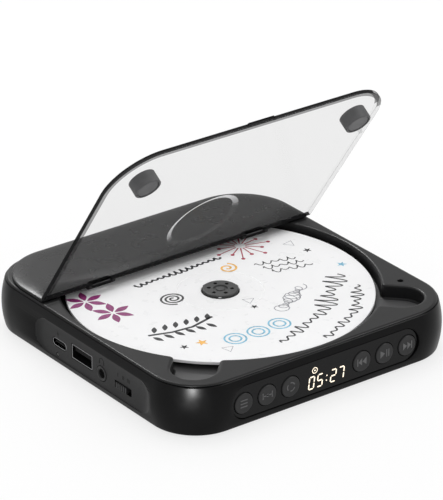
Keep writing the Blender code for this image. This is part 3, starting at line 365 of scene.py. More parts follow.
def rubber(name, colour, roughness=0.62, gloss=0.3):
    kind = texture["rubber"]
    material, shader = newMaterial(name, colour, roughness, 0.0, gloss)
    addKindClouds(material, shader, colour, kind)
    addBump(material, shader, addNoise(material, kind["grain"], 2.0), kind["bump"], kind["depth"])
    return material


def smokedAcrylic(name, colour, alpha, roughness, coat):
    # the gloss is a thin coat, because a plain sheen turns milky where the sheet is seen from inside
    kind = texture["acrylic"]
    material, shader = newMaterial(name, colour, roughness, 0.0, 0.0)
    shader.inputs["Coat Weight"].default_value = coat
    shader.inputs["Coat Roughness"].default_value = kind["coatRoughness"]
    shader.inputs["Alpha"].default_value = alpha
    shader.inputs["IOR"].default_value = kind["bend"]
    addWear(material, shader, roughness, kind)
    addKindClouds(material, shader, colour, kind)
    return material


# Painted highlight and shade: the recess's slope is coloured by where it lies along one direction.
def recessGleam(name):
    material, shader = newMaterial(name, paintedGleam["bright"], paintedGleam["roughness"], 0.0, paintedGleam["gloss"])
    tree = material.node_tree
    where = tree.nodes.new("ShaderNodeTexCoord")
    along = tree.nodes.new("ShaderNodeVectorMath")
    along.operation = "DOT_PRODUCT"
    along.inputs[1].default_value = paintedGleam["towards"]
    tree.links.new(where.outputs["Object"], along.inputs[0])
    side = tree.nodes.new("ShaderNodeMapRange")
    side.inputs["From Min"].default_value = paintedGleam["reachFrom"]
    side.inputs["From Max"].default_value = paintedGleam["reachTo"]
    tree.links.new(along.outputs["Value"], side.inputs["Value"])
    tones = [(position, paintedGleam[tone]) for position, tone in paintedGleam["tone"]]
    covers = [(position, (share,) * 3) for position, share in paintedGleam["cover"]]
    addRamp(material, side.outputs["Result"], tones, shader.inputs["Base Color"])
    addRamp(material, side.outputs["Result"], covers, shader.inputs["Alpha"])
    return material


def ink(name, colour):
    kind = texture["ink"]
    material, shader = newMaterial(name, colour, kind["roughness"], 0.0, kind["gloss"])
    addKindClouds(material, shader, colour, kind)
    return material


def glow(name, colour, strength):
    kind = texture["glow"]
    material, shader = newMaterial(name, colour, kind["roughness"])
    shader.inputs["Emission Color"].default_value = (*colour, 1.0)
    shader.inputs["Emission Strength"].default_value = strength
    addKindClouds(material, shader, colour, kind)
    return material


look = {
    "case": mouldedPlastic("caseSatin", (0.0040, 0.0040, 0.0042), 0.31, 0.085),
    "deck": mouldedPlastic("deckSatin", (0.0125, 0.0125, 0.0128), 0.34, 0.12),
    "cover": mouldedPlastic("coverSatin", (0.010, 0.010, 0.0103), 0.28, 0.14, 2200.0, 0.01, 0.01),
    # darker than the deck it is moulded with: painted shade on the well's walls, the cover's front face and
    # underside, and the hinge ears
    "well": mouldedPlastic("wellSatin", (0.008, 0.008, 0.0085), 0.45, 0.2),
    # much lighter than the deck it is moulded with: painted light on the floor of the well and notches
    "wellFloor": mouldedPlastic("wellFloor", (0.075, 0.075, 0.076), 0.42, 0.25),
    # black for the socket tongues, and painted shade on the USB-A shell's inner walls
    "inside": mouldedPlastic("insideBlack", (0.004, 0.004, 0.004), 0.6, 0.1),
    "panel": glossPlastic("panelGloss", (0.004, 0.004, 0.0043), 0.16, 0.16),
    "key": mouldedPlastic("keySatin", (0.018, 0.018, 0.0185), 0.40, 0.25, 3000.0, 0.01),
    # the case's own plastic drawn lighter: painted light in the side recess
    "port": mouldedPlastic("portSatin", (0.017, 0.017, 0.0173), 0.36, 0.12),
    "steel": steel("platedSteel", (0.66, 0.66, 0.67), 0.25),
    "bright": steel("brightShell", (0.30, 0.30, 0.305), 0.24, (30.0, 1.0, 1.0)),
    # plated steel drawn dark: painted shade for parts seen only through gaps
    "darkSteel": steel("darkSteel", (0.035, 0.035, 0.036), 0.38),
    "rubber": rubber("footRubber", (0.020, 0.020, 0.020)),
    "bumper": rubber("bumperRubber", (0.082, 0.082, 0.084), 0.5),
    "magnet": mouldedPlastic("bumperFace", (0.100, 0.100, 0.102), 0.42, 0.2, 3000.0, 0.01),
    "lid": smokedAcrylic("lidSmoke", (0.004, 0.004, 0.0043), 0.088, 0.05, 0.3),
    # The lid's edges, hinge arms, tab and near rim are painted dark as shade, and its far edge pale as a
    # highlight.
    "lidEdge": smokedAcrylic("lidEdge", (0.006, 0.006, 0.0065), 0.97, 0.22, 0.1),
    "lidRim": smokedAcrylic("lidRim", (0.020, 0.020, 0.0205), 0.66, 0.2, 0.1),
    "lidFarEdge": smokedAcrylic("lidFarEdge", (0.30, 0.30, 0.305), 0.14, 0.2, 0.0),
    "lidRecess": recessGleam("lidRecess"),
    "disc": glossPlastic("discWhite", (0.95, 0.95, 0.955), 0.34, 0.25, 0.004),
    "hub": mouldedPlastic("hubSatin", (0.036, 0.036, 0.0365), 0.42, 0.25),
    "claw": steel("clawSteel", (0.26, 0.26, 0.265), 0.35),
    "mark": mouldedPlastic("markGrey", (0.12, 0.12, 0.122), 0.5, 0.2),
    "darkMark": mouldedPlastic("markDark", (0.004, 0.004, 0.004), 0.5, 0.1),
    "digit": glow("digitGlow", (1.0, 0.88, 0.70), 0.85),
    "black": ink("inkBlack", (0.020, 0.020, 0.022)),
    "grey": ink("inkGrey", (0.30, 0.30, 0.33)),
    "violet": ink("inkViolet", (0.26, 0.035, 0.16)),
    "blue": ink("inkBlue", (0.22, 0.50, 0.66)),
    "orange": ink("inkOrange", (0.85, 0.46, 0.10)),
    "red": ink("inkRed", (0.36, 0.03, 0.06)),
    "board": mouldedPlastic("boardGreen", (0.02, 0.12, 0.06), 0.4),
    "gear": mouldedPlastic("gearNatural", (0.75, 0.75, 0.71), 0.45),
    "cell": glossPlastic("cellWrap", (0.42, 0.43, 0.45), 0.35),
    "lamp": glossPlastic("lampClear", (0.045, 0.045, 0.044), 0.15),
}
print("materials made:", len(look))

# Case. A cutting tool reaches past what it cuts by the length called beyond.

beyond = 1.0
case = {
    "half": 65.3, "bulge": 1.5, "corner": 19.0, "seam": 20.0, "bottomRound": 0.8, "edge": 0.18,
    "lip": 0.2, "inner": 63.8, "innerCorner": 17.5, "floor": 1.6,
    "cornerSteps": 22, "sideSteps": 22, "roundSteps": 6,
    "screwRadius": 2.2, "screwDepth": 1.9, "footRadius": 5.3, "footDepth": 0.5,
}


def caseHalf(level):
    share = level / case["seam"]
    return case["half"] + case["bulge"] * (1.0 - (2.0 * share - 1.0) ** 2)


def caseRing(work, level, inset=0.0):
    half = caseHalf(level) - inset
    corner = case["corner"] + half - case["half"]
    return addRing(work, squareOutline(half, corner, case["cornerSteps"]), height(level))


panel = {
    "halfLength": 44.6, "halfHeight": 7.05, "level": 10.1, "faceY": -65.9, "bedY": -64.6, "cutY": -70.0,
    "thickness": 1.0, "gap": 0.25, "edge": ((0.35, 0.0), (0.12, 0.06), (0.0, 0.25)), "steps": 36,
    "pocketSteps": 32, "buttonRadius": 4.15, "buttonLevel": 9.8, "firstX": 17.0, "pitch": 11.0,
    "keyPlay": 0.22, "holeFlare": 0.6, "flareOut": 0.3, "flareIn": 0.12, "wallY": -63.8,
    "cap": 1.2, "proud": 0.5, "plunger": 2.6, "plungerPlay": 0.3, "plungerEnd": -62.2, "keyRound": 0.35,
    "dish": ((0.0, 0.10), (0.5, 0.07), (0.8, 0.02)),
}
keyPlaces = [-(panel["firstX"] + index * panel["pitch"]) for index in (2, 1, 0)]
keyPlaces += [panel["firstX"] + index * panel["pitch"] for index in range(3)]

# Each opening has its place along the side, its level, and its half sizes or radius.
port = {
    "faceX": -65.6, "lowY": -40.7, "highY": 25.3, "lowLevel": 2.7, "highLevel": 16.5,
    "ramp": 4.4, "rampLift": 0.25, "corner": 5.0, "rampSteps": 8, "cornerSteps": 10,
    "skin": 0.06, "paintPlay": 0.3, "play": 0.25, "boxCorner": 0.3,
    "usbC": (14.7, 9.2, 4.47, 1.63), "usbA": (-0.2, 9.8, 6.6, 2.9), "jack": (-13.1, 8.2, 3.0),
    "window": (-27.0, 7.8, 5.3, 1.6), "lamp": (15.9, 4.2, 0.6),
}
screwPlaces = [(-38.0, -56.3), (38.0, -56.3), (-54.2, 54.2), (54.2, 54.2)]
footPlaces = [(-48.0, -48.0), (-48.0, 48.0), (48.0, -48.0), (48.0, 48.0)]


def portRecess(work):
    # flat for the sockets, with a hollow ramp at each end that runs out on the bulged wall
    depth = caseHalf(case["seam"] / 2.0) + port["faceX"]
    sections = []
    for step in range(port["rampSteps"] + 1):
        share = step / port["rampSteps"]
        spread = port["ramp"] * math.sqrt(share)
        lift = port["rampLift"] * share
        outline = roundedBox(port["lowY"] - spread, port["highY"] + spread, height(port["lowLevel"]) - lift,
                             height(port["highLevel"]) + lift, port["corner"] + lift, port["cornerSteps"])
        sections.append((outline, port["faceX"] - depth * share))
    outline, x = sections[-1]
    sections.append((outline, x - beyond))
    loftSolid(work, sections[::-1], "X")


def paintRecess(item):
    # faces cut by the recess take the lighter port colour: painted light on the case's own plastic
    for face in item.data.polygons:
        x, y, z = [c / mm for c in face.center]
        level = z - foot
        cut = -caseHalf(level) + port["skin"] < x < port["faceX"] + port["skin"]
        between = port["lowY"] - port["ramp"] < y < port["highY"] + port["ramp"]
        upright = port["lowLevel"] - port["paintPlay"] < level < port["highLevel"] + port["paintPlay"]
        if cut and between and upright:
            face.material_index = 2


def portHoles(work):
    play = port["play"]
    y, level, halfY, halfZ = port["usbC"]
    outlines = [stadium(halfY + play, halfZ + play, y, height(level))]
    for name, gap in (("usbA", play), ("window", 0.0)):
        y, level, halfY, halfZ = port[name]
        outlines.append(centredBox(y, height(level), halfY + gap, halfZ + gap, port["boxCorner"], 3))
    for name in ("jack", "lamp"):
        y, level, radius = port[name]
        outlines.append(circlePoints(radius + play, 40, y, height(level)))
    for outline in outlines:
        prism(work, outline, port["faceX"] - beyond, -case["inner"] + beyond, "X")


def caseHoles(work):
    for x in keyPlaces:
        hole = circlePoints(panel["plunger"] + panel["plungerPlay"], 24, x, height(panel["buttonLevel"]))
        prism(work, hole, panel["bedY"] - beyond / 2.0, panel["wallY"] + beyond / 2.0, "Y")
    low = height(-beyond)
    for places, radius, depth, steps in ((screwPlaces, case["screwRadius"], case["screwDepth"], 32),
                                         (footPlaces, case["footRadius"], case["footDepth"], 48)):
        top = height(depth)
        for x, y in places:
            turnSolid(work, [(0, low), (radius, low), (radius, top), (0, top)], steps, x, y)


def buildCase():
    work = bmesh.new()
    low = case["bottomRound"]
    rings = [caseRing(work, low * rise, low * fall) for rise, fall in quarterRound(case["roundSteps"])]
    top = case["seam"] - case["lip"]
    for step in range(1, case["sideSteps"] + 1):
        rings.append(caseRing(work, low + (top - low) * step / case["sideSteps"]))
    rings.append(caseRing(work, case["seam"], case["lip"]))
    inner = squareOutline(case["inner"], case["innerCorner"], case["cornerSteps"])
    rings += [addRing(work, inner, height(level)) for level in (case["seam"], case["floor"])]
    bridgeAll(work, rings)
    cap(work, rings[0])
    cap(work, rings[-1])
    item = newObject("caseShell", work, [look["case"], look["inside"], look["port"]])
    pocket = stadium(panel["halfLength"], panel["halfHeight"], 0.0, height(panel["level"]),
                     panel["pocketSteps"])
    combine(item, lambda tool: prism(tool, pocket, panel["cutY"], panel["bedY"], "Y"))
    combine(item, portRecess)
    soften(item, case["edge"])
    paintRecess(item)
    combine(item, portHoles)
    combine(item, caseHoles)
    mount(item, "case", "case_plastic", "lower_housing")


# Deck. The rim's profile gives how far it stands out from the deck's top edge, and its level.

deck = {
    "half": 64.4, "level": 20.9, "corner": 18.9, "support": 0.4, "roundSteps": 7,
    "rimProfile": ((0.72, 20.3), (0.8, 20.36), (0.8, 20.4), (0.68, 20.56), (0.15, 20.85), (0.0, 20.9),
                   (-0.4, 20.9)),
    "skirtHalf": 63.5, "skirtCorner": 17.2, "skirtLow": 17.6, "skirtHigh": 20.3, "skirtWall": 1.2,
    "thickness": 1.6,
    "wellRadius": 62.3, "wellWall": 1.1, "wellFloor": 15.1, "wellBottom": 13.8, "rim": 1.2, "rimDrop": 0.8,
    "mouth": 1.9, "leastMouth": 0.2, "notchHalf": 8.7, "notchEnd": 70.1, "floorRound": 0.9, "keyhole": 16.5,
    "slotHalf": 8.0, "slotEnd": 60.5, "hole": (57.9, -38.9, 1.2), "holeEdge": 0.15,
}


def wellOutline(offset):
    radius = deck["wellRadius"] + offset
    half = deck["notchHalf"] + offset
    mouth = max(deck["mouth"] - offset, deck["leastMouth"])
    centreX = math.sqrt((radius + mouth) ** 2 - (half + mouth) ** 2)
    turn = math.degrees(math.atan2(half + mouth, centreX))
    points = []
    for direction, arcEnd in ((225.0, 315.0), (315.0, 585.0)):
        local = arcPoints(centreX, -(half + mouth), mouth, 180.0 - turn, 90.0, 6)
        local += arcPoints(deck["notchEnd"], 0.0, half, -90.0, 90.0, 24)
        local += arcPoints(centreX, half + mouth, mouth, 270.0, 180.0 + turn, 6)
        angle = math.radians(direction)
        for x, y in local:
            points.append((x * math.cos(angle) - y * math.sin(angle),
                           x * math.sin(angle) + y * math.cos(angle)))
        steps = 32 if arcEnd < 360.0 else 120
        points += arcPoints(0.0, 0.0, radius, direction + turn, arcEnd - turn, steps)[1:-1]
    return points


def keyholeOutline():
    spread = math.degrees(math.asin(deck["slotHalf"] / deck["keyhole"]))
    points = arcPoints(0.0, 0.0, deck["keyhole"], spread, 360.0 - spread, 48)
    return points + [(deck["slotEnd"], -deck["slotHalf"]), (deck["slotEnd"], deck["slotHalf"])]


def buildDeck():
    work = bmesh.new()

    def square(half, corner, level):
        return addRing(work, squareOutline(half, corner, case["cornerSteps"]), height(level))

    def well(offset, level):
        return addRing(work, wellOutline(offset), height(level))

    under = deck["level"] - deck["thickness"]
    skirtInner = deck["skirtHalf"] - deck["skirtWall"]
    innerCorner = deck["skirtCorner"] - deck["skirtWall"]
    outer = [square(skirtInner, innerCorner, under), square(skirtInner, innerCorner, deck["skirtLow"]),
             square(deck["skirtHalf"], deck["skirtCorner"], deck["skirtLow"]),
             square(deck["skirtHalf"], deck["skirtCorner"], deck["skirtHigh"])]
    outer += [square(deck["half"] + out, deck["corner"] + out, level) for out, level in deck["rimProfile"]]
    bridgeAll(work, outer)
    turns = quarterRound(deck["roundSteps"])
    inner = [well(deck["rim"] + deck["support"], deck["level"])]
    inner += [well(deck["rim"] * fall, deck["level"] - deck["rimDrop"] * rise) for rise, fall in turns]
    bridgeAll(work, inner)
    walls = [inner[-1]]
    walls += [well(-deck["floorRound"] * rise, deck["wellFloor"] + deck["floorRound"] * fall)
              for rise, fall in turns]
    # the walls take the darker well colour, painted shade
    bridgeAll(work, walls, 1)
    keyTop = addRing(work, keyholeOutline(), height(deck["wellFloor"]))
    keyLow = addRing(work, keyholeOutline(), height(deck["wellBottom"]))
    # the floor takes the lighter well floor colour, painted light
    fillBetween(work, [walls[-1], keyTop], 2)
    bridge(work, keyLow, keyTop, 1)
    outside = [well(deck["wellWall"], deck["wellBottom"]), well(deck["wellWall"], under)]
    fillBetween(work, [outside[0], keyLow], 1)
    bridgeAll(work, outside, 1)
    x, y, radius = deck["hole"]
    edge = deck["holeEdge"]
    hole = [addRing(work, circlePoints(radius + out, 32, x, y), height(level))
            for out, level in ((0.0, under), (0.0, deck["level"] - edge), (edge, deck["level"]))]
    bridgeAll(work, hole, 1)
    fillBetween(work, [outer[-1], inner[0], hole[-1]])
    fillBetween(work, [outer[0], outside[1], hole[0]], 1)
    item = newObject("deckPlate", work, [look["deck"], look["well"], look["wellFloor"]], 40.0)
    mount(item, "case", "deck_plastic", "deck_frame")


# Rear cover and hinge

cover = {
    "half": 64.4, "frontY": 28.0, "radius": 23.1, "low": 21.2, "thickness": 1.5, "lowEdge": 0.12,
    "roundWidth": 6.0, "roundDrop": 0.62, "roundSteps": 14, "frontRound": 0.4, "softDeg": 50.0,
    "hingeY": 27.48, "hingeDrop": 1.0, "knuckle": 1.1, "knuckleHalf": 4.5, "hingeX": 37.2,
    "earWidth": 1.5, "earSink": 0.1, "earEdge": 0.08, "play": 0.3, "notchDepth": 1.5,
}
hingeLevel = cover["low"] + cover["thickness"] - cover["hingeDrop"]


def coverOutline(inset):
    half = cover["half"] - inset
    radius = cover["radius"] - inset / 2.0
    front = cover["frontY"]
    back = front + cover["notchDepth"]
    outer = cover["knuckleHalf"] + cover["play"] + cover["earWidth"]
    points = [(-half, front)]
    for centre in (-cover["hingeX"], cover["hingeX"]):
        points += [(centre - outer, front), (centre - outer, back),
                   (centre + outer, back), (centre + outer, front)]
    points.append((half, front))
    points += arcPoints(half - radius, half - radius, radius, 0.0, 90.0, 32)
    return points + arcPoints(radius - half, half - radius, radius, 90.0, 180.0, 32)


def hingeEars(work):
    inner = cover["knuckleHalf"] + cover["play"]
    back = cover["frontY"] + cover["notchDepth"] + cover["earSink"]
    top = cover["low"] + cover["thickness"] - cover["earSink"]
    nose = arcPoints(cover["hingeY"], height(hingeLevel), cover["knuckle"], 90.0, 270.0, 16)
    nose += [(back, height(cover["low"])), (back, height(top))]
    # the ears take the darker well colour, painted shade in the hinge notches
    for centre in (-cover["hingeX"], cover["hingeX"]):
        prism(work, nose, centre - inner - cover["earWidth"], centre - inner, "X", 1)
        prism(work, nose, centre + inner, centre + inner + cover["earWidth"], "X", 1)


def buildCover():
    top = cover["low"] + cover["thickness"]
    looksWithPaintedLight = [look["cover"], look["well"]]
    work = bmesh.new()
    sections = [(coverOutline(cover["lowEdge"]), height(cover["low"])),
                (coverOutline(0.0), height(cover["low"] + cover["lowEdge"]))]
    for rise, fall in quarterRound(cover["roundSteps"]):
        sections.append((coverOutline(cover["roundWidth"] * rise), height(top - cover["roundDrop"] * fall)))
    loftSolid(work, sections)
    item = newObject("rearCover", work, looksWithPaintedLight, crisp)
    soften(item, cover["frontRound"], cover["softDeg"], cover["softDeg"])
    for face in item.data.polygons:
        # the front edge and the underside take the darker well colour, painted shade
        if face.normal.y < -0.85 or face.normal.z < -0.5:   # the front edge and the underside
            face.material_index = 1
    mount(item, "case", "deck_plastic", "rear_cover")
    work = bmesh.new()
    hingeEars(work)
    ears = newObject("hingeEars", work, looksWithPaintedLight, crisp)
    soften(ears, cover["earEdge"], cover["softDeg"], cover["softDeg"])
    mount(ears, "case", "deck_plastic")


# Lid. It is drawn closed around the hinge line and then swung open.

lid = {
    "half": 64.9, "frontY": -65.1, "corner": 20.1, "thickness": 1.6, "edge": 0.25, "edgeSteps": 4,
    "rim": 1.8, "rearClearance": 1.3, "openDeg": 55.6, "armInset": 0.4,
    "tabHalf": 6.2, "tabReach": 1.2, "tabThickness": 0.9, "tabCorner": 0.5,
    "recess": 15.9, "recessDepth": 0.6, "recessSlope": 2.3, "paintPlay": 0.2,
    "bumper": 5.45, "bumperHeight": 5.0, "bumperShift": 1.4, "bumperRound": 0.4, "bumperSink": 0.3,
    "bumperEdge": 0.1, "magnet": 4.35, "magnetSink": 0.2, "magnetGap": 0.2, "magnetEdge": 0.15,
    "magnetDish": 0.05, "magnetThickness": 0.6, "magnetBed": 1.0, "pin": (57.9, -38.9, 0.8, 3.0),
    "pinRoot": 0.3,
}
lidTop = cover["hingeDrop"]
lidUnder = lidTop - lid["thickness"]
lidFront = lid["frontY"] - cover["hingeY"]


def swingOpen(item):
    turn = Matrix.Rotation(-math.radians(lid["openDeg"]), 4, "X")
    shift = Matrix.Translation((0.0, cover["hingeY"] * mm, height(hingeLevel) * mm))
    item.data.transform(shift @ turn)
    item.data.update()


def lidOutline(inset):
    half = lid["half"] - inset
    front = lidFront + inset
    radius = lid["corner"] - inset
    points = arcPoints(radius - half, front + radius, radius, 180.0, 270.0, 32)
    points += arcPoints(half - radius, front + radius, radius, 270.0, 360.0, 32)
    return points + [(half, -lid["rearClearance"] - inset), (-half, -lid["rearClearance"] - inset)]


def lidExtras(work):
    middle = (lidTop + lidUnder) / 2.0
    tab = roundedBox(-lid["tabHalf"], lid["tabHalf"], lidFront - lid["tabReach"], lidFront + beyond,
                     lid["tabCorner"], 6)
    prism(work, tab, middle - lid["tabThickness"] / 2.0, middle + lid["tabThickness"] / 2.0)
    root = -lid["rearClearance"] - beyond
    arm = arcPoints(0.0, 0.0, cover["knuckle"], -90.0, 90.0, 16)
    arm += [(root, lidTop - lid["armInset"]), (root, lidUnder + lid["armInset"])]
    for centre in (-cover["hingeX"], cover["hingeX"]):
        prism(work, arm, centre - cover["knuckleHalf"], centre + cover["knuckleHalf"], "X")
    x, y, radius, length = lid["pin"]
    pin = circlePoints(radius, 24, x, y - cover["hingeY"])
    prism(work, pin, lidUnder - length, lidUnder + lid["pinRoot"])


def lidRecess(work):
    spread = lid["recessSlope"] / lid["recessDepth"]
    low = lidUnder - beyond
    high = lidUnder + lid["recessDepth"]
    profile = [(0, low), (lid["recess"] + spread * beyond, low),
               (lid["recess"] - lid["recessSlope"], high), (0, high)]
    turnSolid(work, profile, 96, 0.0, -cover["hingeY"])


def rimDistance(centre):
    # how far a point of the closed lid lies inside its outline
    x = abs(centre.x) / mm
    y = centre.y / mm - lidFront
    if x > lid["half"] - lid["corner"] and y < lid["corner"]:
        return lid["corner"] - math.hypot(x - lid["half"] + lid["corner"], lid["corner"] - y)
    return min(lid["half"] - x, y)


def paintLid(item):
    # painted light: the rim and edges are painted dark as shade on the near sides and pale as a highlight
    # on the far one, and the recess's slope takes its painted highlight and shade
    sheet, edge, nearRimShade, farRimHighlight, slope = range(5)
    border = lid["edge"] + lid["rim"]
    for face in item.data.polygons:
        x, y, z = [c / mm for c in face.center]
        away = math.hypot(x, y + cover["hingeY"])
        flat = abs(face.normal.z) > 0.999
        far = face.normal.x > 0.5 or (flat and x > lid["half"] - border)
        inner = lid["recess"] - lid["recessSlope"] - lid["paintPlay"]
        if inner < away < lid["recess"] + lid["paintPlay"] and not flat:
            face.material_index = slope
        elif y > -lid["rearClearance"] - 0.1 or y < lidFront:
            face.material_index = edge
        # the switch pin takes the far rim's pale colour, a painted highlight
        elif z < lidUnder - 0.05:   # the switch pin
            face.material_index = farRimHighlight
        elif flat and rimDistance(face.center) > border:
            face.material_index = sheet
        elif far:
            face.material_index = farRimHighlight
        else:
            face.material_index = nearRimShade if flat else edge


def buildLid():
    work = bmesh.new()
    sections = [(lidOutline(lid["edge"] + lid["rim"]), lidUnder)]
    for rise, fall in quarterRound(lid["edgeSteps"]):
        sections.append((lidOutline(lid["edge"] * fall), lidUnder + lid["edge"] * rise))
    sections += [(outline, lidTop + lidUnder - level) for outline, level in reversed(sections)]
    loftSolid(work, sections)
    looksWithPaintedLight = [look[key] for key in ("lid", "lidEdge", "lidRim", "lidFarEdge", "lidRecess")]
    item = newObject("lidPanel", work, looksWithPaintedLight, crisp)
    combine(item, lidRecess)
    combine(item, lidExtras, "UNION")
    paintLid(item)
    swingOpen(item)
    evenShading(item)
    mount(item, "lid", "smoked_acrylic", "lid_panel")


def buildBumpers():
    corner = deck["notchEnd"] * math.sqrt(0.5)
    y = -corner - cover["hingeY"] - lid["bumperShift"]
    end = lidUnder - lid["bumperHeight"] - lid["bumperSink"]
    radius = lid["bumper"]
    edge = lid["bumperEdge"]
    rounding = lid["bumperRound"]
    rubberProfile = [(0, lidUnder), (radius - edge, lidUnder), (radius, lidUnder - edge)]
    rubberProfile += [(radius - rounding * rise, end + rounding * fall) for rise, fall in quarterRound(6)]
    gap = lid["magnet"] + lid["magnetGap"]
    bed = end + lid["magnetBed"]
    rubberProfile += [(gap + edge, end), (gap, end + edge), (gap, bed), (0, bed)]
    face = end + lid["magnetSink"]
    radius = lid["magnet"]
    edge = lid["magnetEdge"]
    back = face + lid["magnetThickness"]
    magnetProfile = [(0, face + lid["magnetDish"]), (radius * 0.5, face), (radius - edge, face),
                     (radius, face + edge), (radius, back), (0, back)]
    for side, x in (("Left", -corner), ("Right", corner)):
        work = bmesh.new()
        turnSolid(work, rubberProfile, 64, x, y)
        item = newObject("lidBumper" + side, work, [look["bumper"]], crisp)
        swingOpen(item)
        evenShading(item)
        mount(item, "lid", "soft_rubber", "lid_bumper_" + side.lower())
        work = bmesh.new()
        turnSolid(work, magnetProfile, 64, x, y)
        item = newObject("lidMagnet" + side, work, [look["magnet"]], crisp)
        swingOpen(item)
        mount(item, "lid", "plated_steel", "lid_magnet_" + side.lower())


# Front panel, keys and digits

keyFace = panel["faceY"] - panel["proud"]


def buildPanel():
    work = bmesh.new()
    face = panel["faceY"]
    back = face + panel["thickness"]
    sections = []
    for inset, depth in (*panel["edge"], (0.0, panel["thickness"])):
        off = panel["gap"] + inset
        sections.append((stadium(panel["halfLength"] - off, panel["halfHeight"] - off, 0.0,
                                 height(panel["level"]), panel["steps"]), face + depth))
    loftSolid(work, sections, "Y")
    item = newObject("frontPanel", work, [look["panel"]], crisp)

    def holes(tool):
        flare = panel["buttonRadius"] + panel["holeFlare"]
        radius = panel["buttonRadius"] + panel["keyPlay"]
        low = face - panel["flareOut"]
        high = back + beyond / 2.0
        profile = [(0, low), (flare, low), (radius, face + panel["flareIn"]), (radius, high), (0, high)]
        for x in keyPlaces:
            turnSolid(tool, profile, 64, x, height(panel["buttonLevel"]), "Y")

    combine(item, holes)
    evenShading(item)
    mount(item, "case", "gloss_black", "front_panel")


def strokeShape(work, points, width, distance, thickness, axis="Y", closed=False):
    count = len(points)
    sides = []
    for index, (u, v) in enumerate(points):
        before = points[(index - 1) % count] if closed or index else points[index]
        after = points[(index + 1) % count] if closed or index < count - 1 else points[index]
        tangent = Vector((after[0] - before[0], after[1] - before[1])).normalized()
        normal = Vector((-tangent.y, tangent.x)) * width / 2.0
        sides.append(((u + normal.x, v + normal.y), (u - normal.x, v - normal.y)))
    rows = []
    for left, right in sides:
        row = []
        for (u, v), offset in ((left, 0.0), (right, 0.0), (right, thickness), (left, thickness)):
            row.append(work.verts.new([c * mm for c in place(u, v, distance + offset, axis)]))
        rows.append(row)
    pairs = list(zip(rows, rows[1:]))
    if closed:
        pairs.append((rows[-1], rows[0]))
    for first, second in pairs:
        for index in range(4):
            following = (index + 1) % 4
            work.faces.new((first[index], first[following], second[following], second[index]))
    if not closed:
        work.faces.new(rows[0])
        work.faces.new(rows[-1])


# Key symbols, in shares of their size. Levels: lift and half length. Uprights: place and half height.
# Triangles: tip and base. Arcs: where each one starts.
symbol = {
    "stroke": 0.46, "size": 2.15, "thickness": 0.03, "sink": 0.015, "halfBase": 0.72, "dot": 0.3,
    "arcRadius": 0.8, "arcDeg": 80.0,
}
symbols = {
    "menu": {"levels": ((-0.62, 0.75), (0.0, 0.75), (0.62, 0.75))},
    "segment": {"levels": ((0.0, 1.0),), "uprights": ((-1.0, 0.6), (1.0, 0.6)), "dots": (0.0,)},
    "sound": {"arcs": (20.0, 140.0, 260.0)},
    "previous": {"uprights": ((-1.0, 0.72),), "triangles": ((-0.85, -0.02), (0.05, 0.95))},
    "play": {"uprights": ((0.42, 0.72), (0.9, 0.72)), "triangles": ((0.05, -1.0),)},
    "next": {"uprights": ((1.0, 0.72),), "triangles": ((-0.05, -0.95), (0.85, 0.02))},
}


def symbolShapes(work, name, x, z, y):
    size = symbol["size"]
    parts = symbols[name]

    def at(u, v):
        return (x + u * size, z + v * size)

    def line(points):
        strokeShape(work, points, symbol["stroke"], y, symbol["thickness"])

    def plate(outline):
        prism(work, outline, y, y + symbol["thickness"], "Y")

    for lift, half in parts.get("levels", ()):
        line([at(-half, lift), at(half, lift)])
    for u, half in parts.get("uprights", ()):
        line([at(u, -half), at(u, half)])
    for start in parts.get("arcs", ()):
        line(arcPoints(x, z, size * symbol["arcRadius"], start, start + symbol["arcDeg"], 12))
    for tip, base in parts.get("triangles", ()):
        plate([at(tip, 0.0), at(base, symbol["halfBase"]), at(base, -symbol["halfBase"])])
    for u in parts.get("dots", ()):
        plate(circlePoints(size * symbol["dot"], 16, *at(u, 0.0)))


def buildKeys():
    radius = panel["buttonRadius"]
    rounding = panel["keyRound"]
    profile = [(radius * share, keyFace + depth) for share, depth in panel["dish"]]
    profile.append((radius - rounding, keyFace))
    profile += [(radius - rounding * fall, keyFace + rounding * rise) for rise, fall in quarterRound(5, 1)]
    profile += [(radius, keyFace + panel["cap"]), (panel["plunger"], keyFace + panel["cap"]),
                (panel["plunger"], panel["plungerEnd"]), (0, panel["plungerEnd"])]
    z = height(panel["buttonLevel"])
    for name, x in zip(symbols, keyPlaces):
        work = bmesh.new()
        turnSolid(work, profile, 64, x, z, "Y")
        item = newObject("key" + name.capitalize(), work, [look["key"]], crisp)
        evenShading(item)
        mount(item, name + "_key", "button_black", "button_" + name)
        work = bmesh.new()
        symbolShapes(work, name, x, z, keyFace - symbol["sink"])
        item = newObject("key" + name.capitalize() + "Mark", work, [look["mark"]])
        mount(item, name + "_key", "button_black")


display = {
    "digitWidth": 2.35, "digitHeight": 4.9, "stroke": 0.52, "cut": 0.12, "level": 8.0, "slantShare": 0.12,
    "thickness": 0.02, "places": (-7.2, -3.2, 3.2, 7.0), "digits": (0, 5, 2, 7), "colon": (0.3, 0.7),
    "symbol": (-5.4, 12.9, 1.15), "symbolStroke": 0.3,
}
segmentShares = {
    "top": ((-0.5, 1.0), (0.5, 1.0)), "middle": ((-0.5, 0.5), (0.5, 0.5)),
    "bottom": ((-0.5, 0.0), (0.5, 0.0)),
    "leftHigh": ((-0.5, 0.5), (-0.5, 1.0)), "leftLow": ((-0.5, 0.0), (-0.5, 0.5)),
    "rightHigh": ((0.5, 0.5), (0.5, 1.0)), "rightLow": ((0.5, 0.0), (0.5, 0.5)),
}
digitSegments = {
    0: ("top", "bottom", "leftHigh", "leftLow", "rightHigh", "rightLow"),
    2: ("top", "middle", "bottom", "leftLow", "rightHigh"),
    5: ("top", "middle", "bottom", "leftHigh", "rightLow"),
    7: ("top", "rightHigh", "rightLow"),
}


